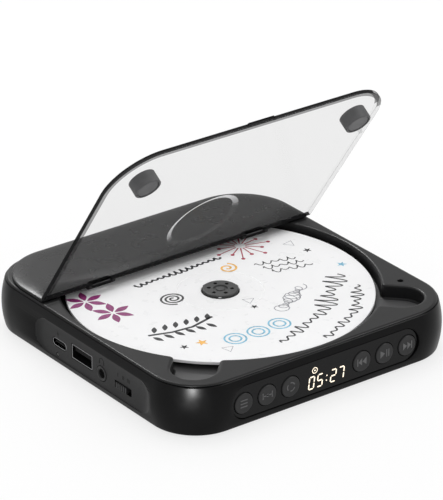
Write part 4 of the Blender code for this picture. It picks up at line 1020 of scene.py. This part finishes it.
def segmentBar(work, start, end, y):
    along = (Vector(end) - Vector(start)).normalized()
    across = Vector((-along.y, along.x)) * display["stroke"] / 2.0
    first = Vector(start) + along * display["cut"]
    last = Vector(end) - along * display["cut"]
    taper = along * display["stroke"] / 2.0
    corners = [first, first + taper - across, last - taper - across, last, last - taper + across,
               first + taper + across]
    prism(work, [(c.x, c.y) for c in corners], y, y + display["thickness"], "Y")


def buildDigits():
    work = bmesh.new()
    y = panel["faceY"] - display["thickness"]
    base = height(display["level"]) - display["digitHeight"] / 2.0

    def lean(u, v):
        return (u + (v - base) * display["slantShare"], v)

    def dot(radius, u, v):
        prism(work, circlePoints(radius, 16, u, v), y, y + display["thickness"], "Y")

    for centre, digit in zip(display["places"], display["digits"]):
        for name in digitSegments[digit]:
            start, end = [lean(centre + u * display["digitWidth"], base + v * display["digitHeight"])
                          for u, v in segmentShares[name]]
            segmentBar(work, start, end, y)
    for share in display["colon"]:
        dot(display["stroke"] * 0.55, *lean(0.0, base + share * display["digitHeight"]))
    x, level, radius = display["symbol"]
    ring = circlePoints(radius, 32, x, height(level))
    strokeShape(work, ring, display["symbolStroke"], y, display["thickness"], closed=True)
    dot(radius * 0.3, x, height(level))
    item = newObject("displayDigits", work, [look["digit"]])
    mount(item, "case", "display_black")


# Sockets on the left side. A tongue has its half sizes, its lift and how far it sits behind the mouth.

socket = {
    "sink": 0.05, "wall": 0.22, "mouth": 0.1, "floor": 1.0, "tongueEnd": 0.9,
    "usbC": {"depth": 6.8, "lip": 0.08, "tongue": (3.3, 0.35, 0.0, 0.6)},
    "usbA": {"depth": 13.2, "lip": 0.07, "tongue": (5.5, 0.9, 1.2, 0.8)}, "usbACorner": 0.35,
    "contacts": 4, "contactSpan": 7.0, "contactHalfY": 0.5, "contactHalfZ": 0.075, "contactLift": 0.255,
    "contactFrom": 1.4, "contactEnd": 1.2,
    "jackProud": 0.3, "jackDepth": 12.0, "jackEdge": 0.25, "jackFlare": 2.3, "jackMouth": 1.85,
    "jackCone": 0.4, "jackThroat": 1.0, "jackBore": 1.8, "lampProud": 0.05, "lampDepth": 2.4,
}
knob = {
    "y": -26.2, "half": 3.4, "halfHeight": 1.25, "proud": 0.55, "edge": 0.15, "root": 0.4,
    "ribs": 5, "ribWidth": 0.4, "ribPitch": 1.15, "ribDepth": 0.3, "ribHalf": 2.0,
}
marks = {
    "stand": 0.02, "thickness": 0.03, "boltLevel": 13.0, "headsetLevel": 13.2, "barLevel": 12.2,
    "bolt": ((16.1, 1.2), (14.9, -0.1), (15.5, -0.1), (15.2, -1.3), (16.5, 0.2), (15.9, 0.2)),
    "headsetRadius": 1.35, "bandStroke": 0.32, "cupStroke": 0.7, "cupTop": 0.1, "cupLow": -1.2,
    "barPitch": 3.4, "barGap": 0.75, "barHalf": 0.8, "barStroke": 0.34,
}


def socketShell(work, outlineAt, low, back, lip, innerSlot):
    # a tube that is open at its low end, with a rounded mouth
    wall = socket["wall"]
    mouth = low + socket["mouth"]
    stops = ((0.0, back), (0.0, mouth), (lip, low), (wall - lip, low), (wall, mouth),
             (wall, back - socket["floor"]))
    rings = [addRing(work, outlineAt(inset), x, "X") for inset, x in stops]
    bridgeAll(work, rings[:5])
    bridge(work, rings[4], rings[5], innerSlot)
    cap(work, rings[0])
    cap(work, rings[5], 1)


def socketTongue(work, tongue, y, z, low, back):
    halfY, halfZ, lift, setBack = tongue
    outline = centredBox(y, z + lift, halfY, halfZ, 0.15, 3)
    prism(work, outline, low + setBack, back - socket["tongueEnd"], "X", 1)


def buildUsbC():
    y, level, halfY, halfZ = port["usbC"]
    z = height(level)
    kind = socket["usbC"]
    low = port["faceX"] + socket["sink"]
    back = low + kind["depth"]
    work = bmesh.new()
    socketShell(work, lambda inset: stadium(halfY - inset, halfZ - inset, y, z), low, back, kind["lip"], 0)
    socketTongue(work, kind["tongue"], y, z, low, back)
    item = newObject("usbCSocket", work, [look["bright"], look["inside"]], crisp)
    mount(item, "case", "plated_steel", "usb_c_socket")


def buildUsbA():
    y, level, halfY, halfZ = port["usbA"]
    z = height(level)
    kind = socket["usbA"]
    low = port["faceX"] + socket["sink"]
    back = low + kind["depth"]

    def box(inset):
        return centredBox(y, z, halfY - inset, halfZ - inset, socket["usbACorner"], 4)

    work = bmesh.new()
    # the shell's inner walls take the inside black, painted shade
    socketShell(work, box, low, back, kind["lip"], 1)
    socketTongue(work, kind["tongue"], y, z, low, back)
    for index in range(socket["contacts"]):
        middle = y + socket["contactSpan"] * (index / (socket["contacts"] - 1) - 0.5)
        contact = centredBox(middle, z + socket["contactLift"], socket["contactHalfY"],
                             socket["contactHalfZ"], 0.05, 2)
        prism(work, contact, low + socket["contactFrom"], back - socket["contactEnd"], "X", 2)
    item = newObject("usbASocket", work, [look["bright"], look["inside"], look["steel"]], crisp)
    mount(item, "case", "plated_steel", "usb_a_socket")


def buildJack():
    y, level, radius = port["jack"]
    low = port["faceX"] - socket["jackProud"]
    back = port["faceX"] + socket["jackDepth"]
    end = back - socket["floor"]
    edge = socket["jackEdge"]
    bore = socket["jackBore"]
    work = bmesh.new()
    profile = [(0, back), (radius, back), (radius, low + edge), (radius - edge, low),
               (socket["jackFlare"], low), (socket["jackMouth"], low + socket["jackCone"]),
               (bore, low + socket["jackThroat"]), (bore, end), (0, end)]
    turnSolid(work, profile, 48, y, height(level), "X")
    item = newObject("headphoneJack", work, [look["key"]], crisp)
    evenShading(item)
    mount(item, "case", "button_black", "headphone_jack")


def buildKnob():
    z = height(port["window"][1])
    face = port["faceX"] - knob["proud"]
    edge = knob["edge"]
    outer = centredBox(knob["y"], z, knob["half"], knob["halfHeight"], 0.25, 4)
    inner = centredBox(knob["y"], z, knob["half"] - edge, knob["halfHeight"] - edge, 0.2, 4)
    work = bmesh.new()
    loftSolid(work, [(inner, face), (outer, face + edge), (outer, -case["inner"] + knob["root"])], "X")
    item = newObject("modeKnob", work, [look["key"]], crisp)

    def grooves(tool):
        for index in range(knob["ribs"]):
            middle = knob["y"] + (index - (knob["ribs"] - 1) / 2.0) * knob["ribPitch"]
            groove = centredBox(middle, z, knob["ribWidth"] / 2.0, knob["ribHalf"], 0.05, 1)
            prism(tool, groove, face - beyond, face + knob["ribDepth"], "X")

    combine(item, grooves)
    mount(item, "mode_knob", "button_black", "mode_switch_knob")


def buildPortMarks():
    x = port["faceX"] - marks["stand"]
    work = bmesh.new()

    def line(points, stroke):
        strokeShape(work, points, stroke, x, marks["thickness"], "X")

    z = height(marks["boltLevel"])
    prism(work, [(u, z + v) for u, v in marks["bolt"]][::-1], x, x + marks["thickness"], "X")
    y = port["jack"][0]
    z = height(marks["headsetLevel"])
    radius = marks["headsetRadius"]
    line(arcPoints(y, z, radius, 0.0, 180.0, 16), marks["bandStroke"])
    for side in (-radius, radius):
        line([(y + side, z + marks["cupTop"]), (y + side, z + marks["cupLow"])], marks["cupStroke"])
    z = height(marks["barLevel"])
    for index in range(3):
        for part in range(index + 1):
            u = port["window"][0] + (1 - index) * marks["barPitch"] + (part - index / 2.0) * marks["barGap"]
            line([(u, z - marks["barHalf"]), (u, z + marks["barHalf"])], marks["barStroke"])
    item = newObject("portMarks", work, [look["darkMark"]])
    mount(item, "case", "case_plastic")


def buildLamp():
    y, level, radius = port["lamp"]
    low = port["faceX"] - socket["lampProud"]
    back = low + socket["lampDepth"]
    work = bmesh.new()
    profile = [(0, low), (radius * 0.6, low + 0.03), (radius, low + 0.15), (radius, back), (0, back)]
    turnSolid(work, profile, 24, y, height(level), "X")
    item = newObject("chargeLamp", work, [look["lamp"]], crisp)
    mount(item, "case", "lamp_clear", "charge_lamp")


# Copies of one small shape on given places, by Geometry Nodes

def copiesTree(name):
    tree = bpy.data.node_groups.new(name, "GeometryNodeTree")
    tree.interface.new_socket("Geometry", in_out="INPUT", socket_type="NodeSocketGeometry")
    shape = tree.interface.new_socket("Shape", in_out="INPUT", socket_type="NodeSocketObject")
    size = tree.interface.new_socket("Size", in_out="INPUT", socket_type="NodeSocketFloat")
    finish = tree.interface.new_socket("Finish", in_out="INPUT", socket_type="NodeSocketMaterial")
    tree.interface.new_socket("Geometry", in_out="OUTPUT", socket_type="NodeSocketGeometry")
    nodes = tree.nodes
    source = nodes.new("NodeGroupInput")
    info = nodes.new("GeometryNodeObjectInfo")
    spread = nodes.new("GeometryNodeInstanceOnPoints")
    turn = nodes.new("GeometryNodeInputNamedAttribute")
    turn.data_type = "FLOAT_VECTOR"
    turn.inputs["Name"].default_value = "turn"
    realize = nodes.new("GeometryNodeRealizeInstances")
    paint = nodes.new("GeometryNodeSetMaterial")
    result = nodes.new("NodeGroupOutput")
    link = tree.links.new
    link(source.outputs["Geometry"], spread.inputs["Points"])
    link(source.outputs["Shape"], info.inputs["Object"])
    link(info.outputs["Geometry"], spread.inputs["Instance"])
    link(turn.outputs["Attribute"], spread.inputs["Rotation"])
    link(source.outputs["Size"], spread.inputs["Scale"])
    link(spread.outputs["Instances"], realize.inputs["Geometry"])
    link(realize.outputs["Geometry"], paint.inputs["Geometry"])
    link(source.outputs["Finish"], paint.inputs["Material"])
    link(paint.outputs["Geometry"], result.inputs["Geometry"])
    return tree, shape.identifier, size.identifier, finish.identifier


spreadTree, shapeInput, sizeInput, finishInput = copiesTree("spreadCopies")


def spreadCopies(name, build, places, material):
    work = bmesh.new()
    build(work)
    shape = newObject(name + "Shape", work, [], crisp)
    mesh = bpy.data.meshes.new(name)
    mesh.from_pydata([Vector(spot) * mm for spot, _turn in places], [], [])
    attribute = mesh.attributes.new("turn", "FLOAT_VECTOR", "POINT")
    for index, (_spot, turn) in enumerate(places):
        attribute.data[index].vector = [math.radians(angle) for angle in turn]
    item = bpy.data.objects.new(name, mesh)
    bpy.context.scene.collection.objects.link(item)
    modifier = item.modifiers.new("spread", "NODES")
    modifier.node_group = spreadTree
    modifier[shapeInput] = shape
    modifier[sizeInput] = 1.0
    modifier[finishInput] = material
    settle(item, crisp)
    bpy.data.objects.remove(shape, do_unlink=True)
    return item


# Disc and hub. Rings and grooves are steps outwards from the ring's radius and away from the face.

disc = {
    "radius": 60.0, "hole": 7.5, "holeEdge": 0.1, "top": 18.4, "thickness": 1.2, "edge": 0.12,
    "ringRadius": 17.0, "lowRing": ((-0.7, 0.0), (-0.3, 0.18), (0.3, 0.18), (0.7, 0.0)),
    "topGroove": ((0.5, 0.0), (0.2, 0.15), (-0.2, 0.15), (-0.5, 0.0)), "print": 0.02, "inkThickness": 0.015,
}
hub = {
    "radius": 7.1, "rise": 1.0, "dome": 0.5, "flange": 15.0, "flangeThickness": 1.2, "play": 0.3,
    "sleeve": 3.2, "sleeveDrop": 3.0, "bore": 1.3, "boreRoof": 1.3,
    "holes": 6, "holeRadius": 0.8, "holeCircle": 4.5, "holeDepth": 0.8, "holeTurn": 20.0,
    "crown": ((2.9, 0.0), (2.6, 0.5), (1.9, 0.5), (1.6, 0.1), (0, 0.0)),
    "claws": 3, "clawTurn": 232.0, "clawHalf": 0.55,
    "clawProfile": ((6.6, 0.25), (7.1, 0.62), (7.55, 0.5), (7.75, 0.28), (7.55, 0.1), (6.6, 0.08)),
}


def buildDisc():
    top = height(disc["top"])
    low = top - disc["thickness"]
    edge = disc["edge"]
    radius = disc["radius"]
    ring = disc["ringRadius"]
    profile = [(disc["hole"], low)] + [(ring + out, low - depth) for out, depth in disc["lowRing"]]
    profile += [(radius - edge, low), (radius, low + edge), (radius, top - edge), (radius - edge, top)]
    profile += [(ring + out, top - depth) for out, depth in disc["topGroove"]]
    profile += [(disc["hole"] + disc["holeEdge"], top), (disc["hole"], top - disc["holeEdge"])]
    work = bmesh.new()
    turnSolid(work, profile, 192)
    item = newObject("compactDisc", work, [look["disc"]], 25.0)
    evenShading(item)
    mount(item, "turntable", "disc_white", "compact_disc")


def clawShapes(work):
    # spring fingers that hold the disc, each a bent profile drawn outwards from the hub
    for index in range(hub["claws"]):
        angle = math.radians(360.0 * index / hub["claws"] + hub["clawTurn"])
        along = Vector((math.cos(angle), math.sin(angle)))
        across = Vector((-along.y, along.x)) * hub["clawHalf"]
        rows = []
        for reach, rise in hub["clawProfile"]:
            z = height(disc["top"]) + rise
            spots = (along * reach - across, along * reach + across)
            rows.append([work.verts.new((spot.x * mm, spot.y * mm, z * mm)) for spot in spots])
        for first, second in zip(rows, rows[1:] + rows[:1]):
            work.faces.new((first[0], first[1], second[1], second[0]))
        work.faces.new([row[0] for row in rows])
        work.faces.new([row[1] for row in rows][::-1])


def buildHub():
    top = height(disc["top"]) + hub["rise"]
    seat = height(disc["top"]) - disc["thickness"] - hub["play"]
    base = seat - hub["flangeThickness"]
    sleeveEnd = base - hub["sleeveDrop"]
    profile = [(0, sleeveEnd), (hub["sleeve"], sleeveEnd), (hub["sleeve"], base), (hub["flange"], base),
               (hub["flange"], seat), (hub["radius"], seat), (hub["radius"], top - hub["dome"])]
    profile += [(hub["radius"] - hub["dome"] * rise, top - hub["dome"] * fall)
                for rise, fall in quarterRound(6, 1)]
    profile += [(radius, top - depth) for radius, depth in hub["crown"]]
    work = bmesh.new()
    turnSolid(work, profile, 96)
    item = newObject("turntableHub", work, [look["hub"]], crisp)

    def holes(tool):
        turn = hub["holeTurn"]
        for x, y in arcPoints(0.0, 0.0, hub["holeCircle"], turn, turn + 360.0, hub["holes"])[:-1]:
            prism(tool, circlePoints(hub["holeRadius"], 20, x, y), top - hub["holeDepth"], top + beyond)
        prism(tool, circlePoints(hub["bore"], 24), sleeveEnd - beyond, top - hub["boreRoof"])

    combine(item, holes)
    evenShading(item)
    mount(item, "turntable", "button_black", "turntable_hub")
    work = bmesh.new()
    clawShapes(work)
    item = newObject("discClaws", work, [look["claw"]], crisp)
    mount(item, "turntable", "plated_steel")


# Print on the disc. Spirals: x, y, size, turns, start angle, squash. Curls: start, end, loops, swing,
# phase, lean. Loops: x, y, radius, corners, turn. Stars: x, y, outer and inner radius, turn. The last
# number of a spiral, curl, loop or stem is its line's width.

artwork = {
    "black": {
        "spirals": ((-19.0, 5.0, 5.4, 2.6, 40.0, 0.9, 0.85),),
        "stems": (((-45.0, -14.5), (-36.0, -17.5), (-27.0, -18.5), (-16.0, -16.0), 1.2),),
        "curls": (((-25.0, 22.0), (17.0, 23.5), 15, 1.6, 2.0, 0.35, 0.95),
                  ((-8.0, -49.0), (20.0, -38.0), 7, 2.6, 3.0, 0.1, 0.75),
                  ((20.0, -38.0), (45.0, -16.0), 8, 5.0, 5.0, 0.1, 0.75),
                  ((8.0, -56.0), (31.0, -45.0), 6, 2.0, 8.0, 0.1, 0.75),
                  ((31.0, -45.0), (45.5, -28.0), 6, 2.8, 1.0, 0.1, 0.75),
                  ((24.0, 10.0), (41.0, 6.0), 5, 1.7, 5.0, 0.35, 0.5),
                  ((25.0, 5.6), (42.0, 1.6), 5, 1.7, 6.0, 0.35, 0.5),
                  ((26.0, 1.2), (43.0, -2.8), 5, 1.7, 7.0, 0.35, 0.5)),
        "stars": ((-39.5, -30.0, 1.9, 0.798, 18.0), (2.0, -19.0, 1.7, 0.714, 18.0),
                  (49.0, 8.0, 1.9, 0.798, 18.0), (-8.0, 37.0, 1.9, 0.798, 18.0)),
    },
    "grey": {
        "loops": ((-27.0, -41.0, 2.6, 3, 12.0, 0.45), (47.0, 17.0, 2.6, 3, 40.0, 0.45),
                  (3.5, -13.5, 2.6, 3, 5.0, 0.45)),
        "curls": (((9.0, -27.0), (27.0, -16.0), 11, 3.4, 2.0, 0.9, 0.4),),
    },
    "blue": {
        "loops": ((-20.0, -36.0, 4.2, 28, 0.0, 0.75), (-20.0, -36.0, 2.31, 28, 0.0, 0.75),
                  (-9.5, -36.5, 4.2, 28, 0.0, 0.75), (-9.5, -36.5, 2.31, 28, 0.0, 0.75),
                  (1.0, -36.0, 4.2, 28, 0.0, 0.75), (1.0, -36.0, 2.31, 28, 0.0, 0.75)),
        "stars": ((52.0, -10.0, 2.2, 0.9, 40.0),),
    },
    "orange": {
        "spirals": ((14.0, 14.0, 4.0, 1.6, 200.0, 1.0, 0.9),),
        "stars": ((-32.0, -31.0, 2.6, 1.1, 10.0),),
    },
}
burst = {
    "place": (30.0, 27.0), "rays": 14, "turn": 8.0, "inner": 2.2, "reaches": (8.0, 11.0), "width": 0.5,
    "dotGap": 0.8, "dot": 0.85,
}
sprig = {
    "leaves": 6, "start": (-42.0, -15.6), "step": (4.6, -0.55), "aside": (1.5, 3.4), "turn": -8.0,
    "spread": 62.0, "leaf": 5.2,
}
flowers = {"places": ((-44.5, 9.0), (-47.5, 23.0)), "petals": 6, "radius": 4.6, "turn": 10.0, "petal": 7.6}
printLevel = height(disc["top"]) + disc["print"] - disc["inkThickness"]


def starOutline(x, y, outer, inner, turnDeg, points=5):
    outline = []
    for index in range(points * 2):
        radius = outer if index % 2 == 0 else inner
        angle = math.radians(turnDeg + 180.0 * index / points)
        outline.append((x + radius * math.cos(angle), y + radius * math.sin(angle)))
    return outline


def spiralLine(x, y, size, turns, startDeg, squash):
    points = []
    total = int(turns * 24)
    for index in range(total + 1):
        share = index / total
        angle = math.radians(startDeg) + share * turns * math.pi * 2.0
        reach = size * (0.12 + 0.88 * share)
        points.append((x + reach * math.cos(angle), y + reach * squash * math.sin(angle)))
    return points


def curlLine(start, end, count, swing, phase, lean):
    # a row of round loops that lean forwards, their reach a little uneven
    points = []
    along = Vector(end) - Vector(start)
    across = Vector((-along.y, along.x)).normalized()
    total = count * 10
    for index in range(total + 1):
        share = index / total
        turn = share * count * math.pi * 2.0
        reach = swing * (0.65 + 0.35 * math.sin(share * 11.0 + phase))
        spot = Vector(start) + along * share + across * reach * math.sin(turn)
        spot += along.normalized() * reach * lean * math.cos(turn)
        points.append((spot.x, spot.y))
    return points


def leafOutline(size):
    # two arcs that meet in points, as long as the size
    shares = [step / 8.0 for step in range(9)]
    low = [(size * (share - 0.5), -0.2 * size * math.sin(share * math.pi)) for share in shares]
    return low + [(u, -v) for u, v in low[-2:0:-1]]


def burstRays():
    # each ray's start and end, and the place of the dot past it
    x, y = burst["place"]
    rays = []
    for index in range(burst["rays"]):
        angle = math.radians(360.0 * index / burst["rays"] + burst["turn"])
        reach = burst["reaches"][index % 2]
        rays.append([(x + length * math.cos(angle), y + length * math.sin(angle))
                     for length in (burst["inner"], reach, reach + burst["dotGap"])])
    return rays


def inkLayer(colour, layer):
    work = bmesh.new()

    def line(points, width, closed=False):
        strokeShape(work, points, width, printLevel, disc["inkThickness"], "Z", closed)

    for *shape, width in layer.get("spirals", ()):
        line(spiralLine(*shape), width)
    for *shape, width in layer.get("curls", ()):
        line(curlLine(*shape), width)
    for *points, width in layer.get("stems", ()):
        line(points, width)
    for x, y, radius, corners, turn, width in layer.get("loops", ()):
        line(arcPoints(x, y, radius, turn, turn + 360.0, corners)[:-1], width, True)
    for star in layer.get("stars", ()):
        prism(work, starOutline(*star), printLevel, printLevel + disc["inkThickness"])
    item = newObject("print" + colour.capitalize(), work, [look[colour]])
    mount(item, "turntable", "disc_white")


def inkCopies(name, outline, places, material):
    # places: x, y and turn
    spots = [((x, y, printLevel), (0.0, 0.0, turn)) for x, y, turn in places]

    def build(work):
        prism(work, outline, 0.0, disc["inkThickness"])

    mount(spreadCopies(name, build, spots, look[material]), "turntable", "disc_white")


def buildPrint():
    rays = burstRays()
    layers = {**artwork, "red": {"stems": [(start, end, burst["width"]) for start, end, _dot in rays]}}
    for colour, layer in layers.items():
        inkLayer(colour, layer)
    leaves = []
    for index in range(sprig["leaves"]):
        x, y = [start + step * index for start, step in zip(sprig["start"], sprig["step"])]
        for side in (-1, 1):
            leaves.append((x + sprig["aside"][0] * side, y + sprig["aside"][1] * side,
                           sprig["spread"] * side + sprig["turn"]))
    inkCopies("printLeaves", leafOutline(sprig["leaf"]), leaves, "black")
    petals = []
    for centreX, centreY in flowers["places"]:
        for index in range(flowers["petals"]):
            turn = 360.0 * index / flowers["petals"] + flowers["turn"]
            petals.append((centreX + flowers["radius"] * math.cos(math.radians(turn)),
                           centreY + flowers["radius"] * math.sin(math.radians(turn)), turn))
    inkCopies("printPetals", leafOutline(flowers["petal"]), petals, "violet")
    dots = [(*dot, 0.0) for _start, _end, dot in rays]
    inkCopies("printDots", circlePoints(burst["dot"], 12), dots, "red")


# Feet, screws and the CAD pieces that stay

screwProfile = ((0, 0.0), (0.5, 0.02), (1.5, 0.12), (1.9, 0.4), (1.9, 1.0), (1.0, 1.0), (1.0, 12.0),
                (0, 12.0))
screwLevel = 0.6
footProfile = ((0, 0.0), (4.5, 0.0), (4.85, 0.12), (5.0, 0.45), (5.0, 1.0), (0, 1.0))


def spreadUpright(name, profile, steps, spots, z, finish):
    places = [((x, y, z), (0.0, 0.0, 0.0)) for x, y in spots]
    return spreadCopies(name, lambda work: turnSolid(work, profile, steps), places, look[finish])


def buildSmallParts():
    screws = spreadUpright("caseScrews", screwProfile, 36, screwPlaces, height(screwLevel), "steel")
    mount(screws, "case", "plated_steel", "case_screw_front_left", "case_screw_front_right",
          "case_screw_rear_left", "case_screw_rear_right")
    feet = spreadUpright("rubberFeet", footProfile, 48, footPlaces, 0.0, "rubber")
    mount(feet, "case", "soft_rubber", "foot_front_left", "foot_rear_left", "foot_front_right",
          "foot_rear_right")


keptLooks = {
    "plated_steel": "steel", "soft_rubber": "rubber", "board_green": "board", "gear_plastic": "gear",
    "cell_wrap": "cell", "lamp_clear": "lamp", "button_black": "key", "display_black": "panel",
    "gloss_black": "panel", "case_plastic": "case", "deck_plastic": "deck", "disc_white": "disc",
    "smoked_acrylic": "lid",
}
# These are drawn in the dark steel, painted shade, as they are seen only through gaps.
paintedShadeNodes = ("hinge_pin_left", "hinge_pin_right", "mode_switch_body")   # seen only through gaps


def dressKeptNodes():
    slots = {part["node"]: part["material_slot"] for part in frame["record"]["subparts"]}
    for name, node in frame["nodes"].items():
        material = look["darkSteel"] if name in paintedShadeNodes else look[keptLooks[slots[name]]]
        node.data.materials.clear()
        node.data.materials.append(material)


# Studio

studio = {
    "floorColour": (0.93, 0.93, 0.93), "floorHalf": 3000.0, "floorWhite": 0.75, "worldStrength": 0.82,
    "lamps": {
        "topLight": {"place": (150.0, 300.0, 1100.0), "aim": (0.0, 0.0, 0.0), "size": 600.0, "power": 3.5,
                     "glossOnly": False},
        "coverLight": {"place": (255.0, 865.0, 818.0), "aim": (0.0, 0.0, 0.0), "size": 300.0, "power": 8.0,
                       "glossOnly": True},
        "edgeLight": {"place": (643.0, -520.0, 826.0), "aim": (0.0, 0.0, 0.0), "size": 260.0, "power": 6.0,
                      "glossOnly": True},
    },
    # a narrow beam on the front left corner, so that the flat faces behind it stay free of glare
    "cornerSpot": {"place": (-900.0, -955.0, 185.0), "aim": (-60.0, -60.5, 12.0), "power": 300.0,
                   "radius": 4.0, "coneDeg": 1.1, "blend": 0.4, "glossOnly": True},
}
view = {
    "place": (-752.222, -997.464, 640.761), "yawDeg": 37.039, "pitchDeg": 25.812, "rollDeg": 0.153,
    "lens": 259.84, "sensor": 36.0,
}


def cameraRayMix(tree, plain, seen):
    path = tree.nodes.new("ShaderNodeLightPath")
    most = tree.nodes.new("ShaderNodeMath")
    most.operation = "MAXIMUM"
    tree.links.new(path.outputs["Is Camera Ray"], most.inputs[0])
    tree.links.new(path.outputs["Is Glossy Ray"], most.inputs[1])
    every = tree.nodes.new("ShaderNodeMath")
    every.operation = "MAXIMUM"
    tree.links.new(most.outputs["Value"], every.inputs[0])
    tree.links.new(path.outputs["Is Transmission Ray"], every.inputs[1])
    mixer = tree.nodes.new("ShaderNodeMixShader")
    tree.links.new(every.outputs["Value"], mixer.inputs["Fac"])
    tree.links.new(plain, mixer.inputs[1])
    tree.links.new(seen, mixer.inputs[2])
    return mixer.outputs["Shader"]


def buildFloor():
    half = studio["floorHalf"] * mm
    mesh = bpy.data.meshes.new("studioFloor")
    mesh.from_pydata([(-half, -half, 0.0), (half, -half, 0.0), (half, half, 0.0), (-half, half, 0.0)], [],
                     [(0, 1, 2, 3)])
    item = bpy.data.objects.new("studioFloor", mesh)
    bpy.context.scene.collection.objects.link(item)
    kind = texture["paper"]
    material, shader = newMaterial("floorPaper", studio["floorColour"], kind["roughness"])
    addKindClouds(material, shader, studio["floorColour"], kind)
    tree = material.node_tree
    white = tree.nodes.new("ShaderNodeEmission")
    blend = tree.nodes.new("ShaderNodeMixShader")
    blend.inputs["Fac"].default_value = studio["floorWhite"]
    tree.links.new(shader.outputs["BSDF"], blend.inputs[1])
    tree.links.new(white.outputs["Emission"], blend.inputs[2])
    surface = tree.nodes["Material Output"].inputs["Surface"]
    tree.links.new(cameraRayMix(tree, shader.outputs["BSDF"], blend.outputs["Shader"]), surface)
    mesh.materials.append(material)


def placeLight(light, lamp):
    light.energy = lamp["power"]
    item = bpy.data.objects.new(light.name, light)
    bpy.context.scene.collection.objects.link(item)
    item.location = [c * mm for c in lamp["place"]]
    along = Vector(lamp["aim"]) - Vector(lamp["place"])
    item.rotation_euler = along.to_track_quat("-Z", "Y").to_euler()
    item.visible_diffuse = not lamp["glossOnly"]


def addLights():
    for name, lamp in studio["lamps"].items():
        light = bpy.data.lights.new(name, "AREA")
        light.shape = "DISK"
        light.size = lamp["size"] * mm
        placeLight(light, lamp)
    spot = studio["cornerSpot"]
    light = bpy.data.lights.new("cornerSpot", "SPOT")
    light.shadow_soft_size = spot["radius"] * mm
    light.spot_size = math.radians(spot["coneDeg"])
    light.spot_blend = spot["blend"]
    placeLight(light, spot)


def addBackground(tree, strength):
    background = tree.nodes.new("ShaderNodeBackground")
    background.inputs["Color"].default_value = (1.0, 1.0, 1.0, 1.0)
    background.inputs["Strength"].default_value = strength
    return background.outputs["Background"]


def buildStudio():
    buildFloor()
    addLights()
    world = bpy.data.worlds.new("studioWorld")
    bpy.context.scene.world = world
    world.use_nodes = True
    tree = world.node_tree
    tree.nodes.clear()
    result = tree.nodes.new("ShaderNodeOutputWorld")
    soft = addBackground(tree, studio["worldStrength"])
    tree.links.new(cameraRayMix(tree, soft, addBackground(tree, 1.0)), result.inputs["Surface"])
    bpy.context.scene.view_settings.view_transform = "Standard"


def buildCamera():
    yaw = math.radians(view["yawDeg"])
    pitch = math.radians(view["pitchDeg"])
    roll = math.radians(view["rollDeg"])
    forward = Vector((math.sin(yaw) * math.cos(pitch), math.cos(yaw) * math.cos(pitch), -math.sin(pitch)))
    level = Vector((math.cos(yaw), -math.sin(yaw), 0.0))
    upright = level.cross(forward)
    right = level * math.cos(roll) + upright * math.sin(roll)
    up = upright * math.cos(roll) - level * math.sin(roll)
    lens = bpy.data.cameras.new("photoCamera")
    lens.lens = view["lens"]
    lens.sensor_width = view["sensor"]
    lens.sensor_fit = "AUTO"
    lens.clip_end = 20.0
    item = bpy.data.objects.new("photoCamera", lens)
    bpy.context.scene.collection.objects.link(item)
    turn = Matrix((right, up, -forward)).transposed().to_4x4()
    item.matrix_world = Matrix.Translation([c * mm for c in view["place"]]) @ turn
    bpy.context.scene.camera = item


dressKeptNodes()
buildCase()
buildDeck()
buildCover()
print("case, deck and cover built")
buildLid()
buildBumpers()
print("lid built")
buildPanel()
buildKeys()
buildDigits()
print("front panel built")
buildUsbC()
buildUsbA()
buildJack()
buildKnob()
buildPortMarks()
buildLamp()
print("sockets built")
buildDisc()
buildHub()
buildPrint()
buildSmallParts()
print("disc, hub and small parts built")
buildStudio()
buildCamera()
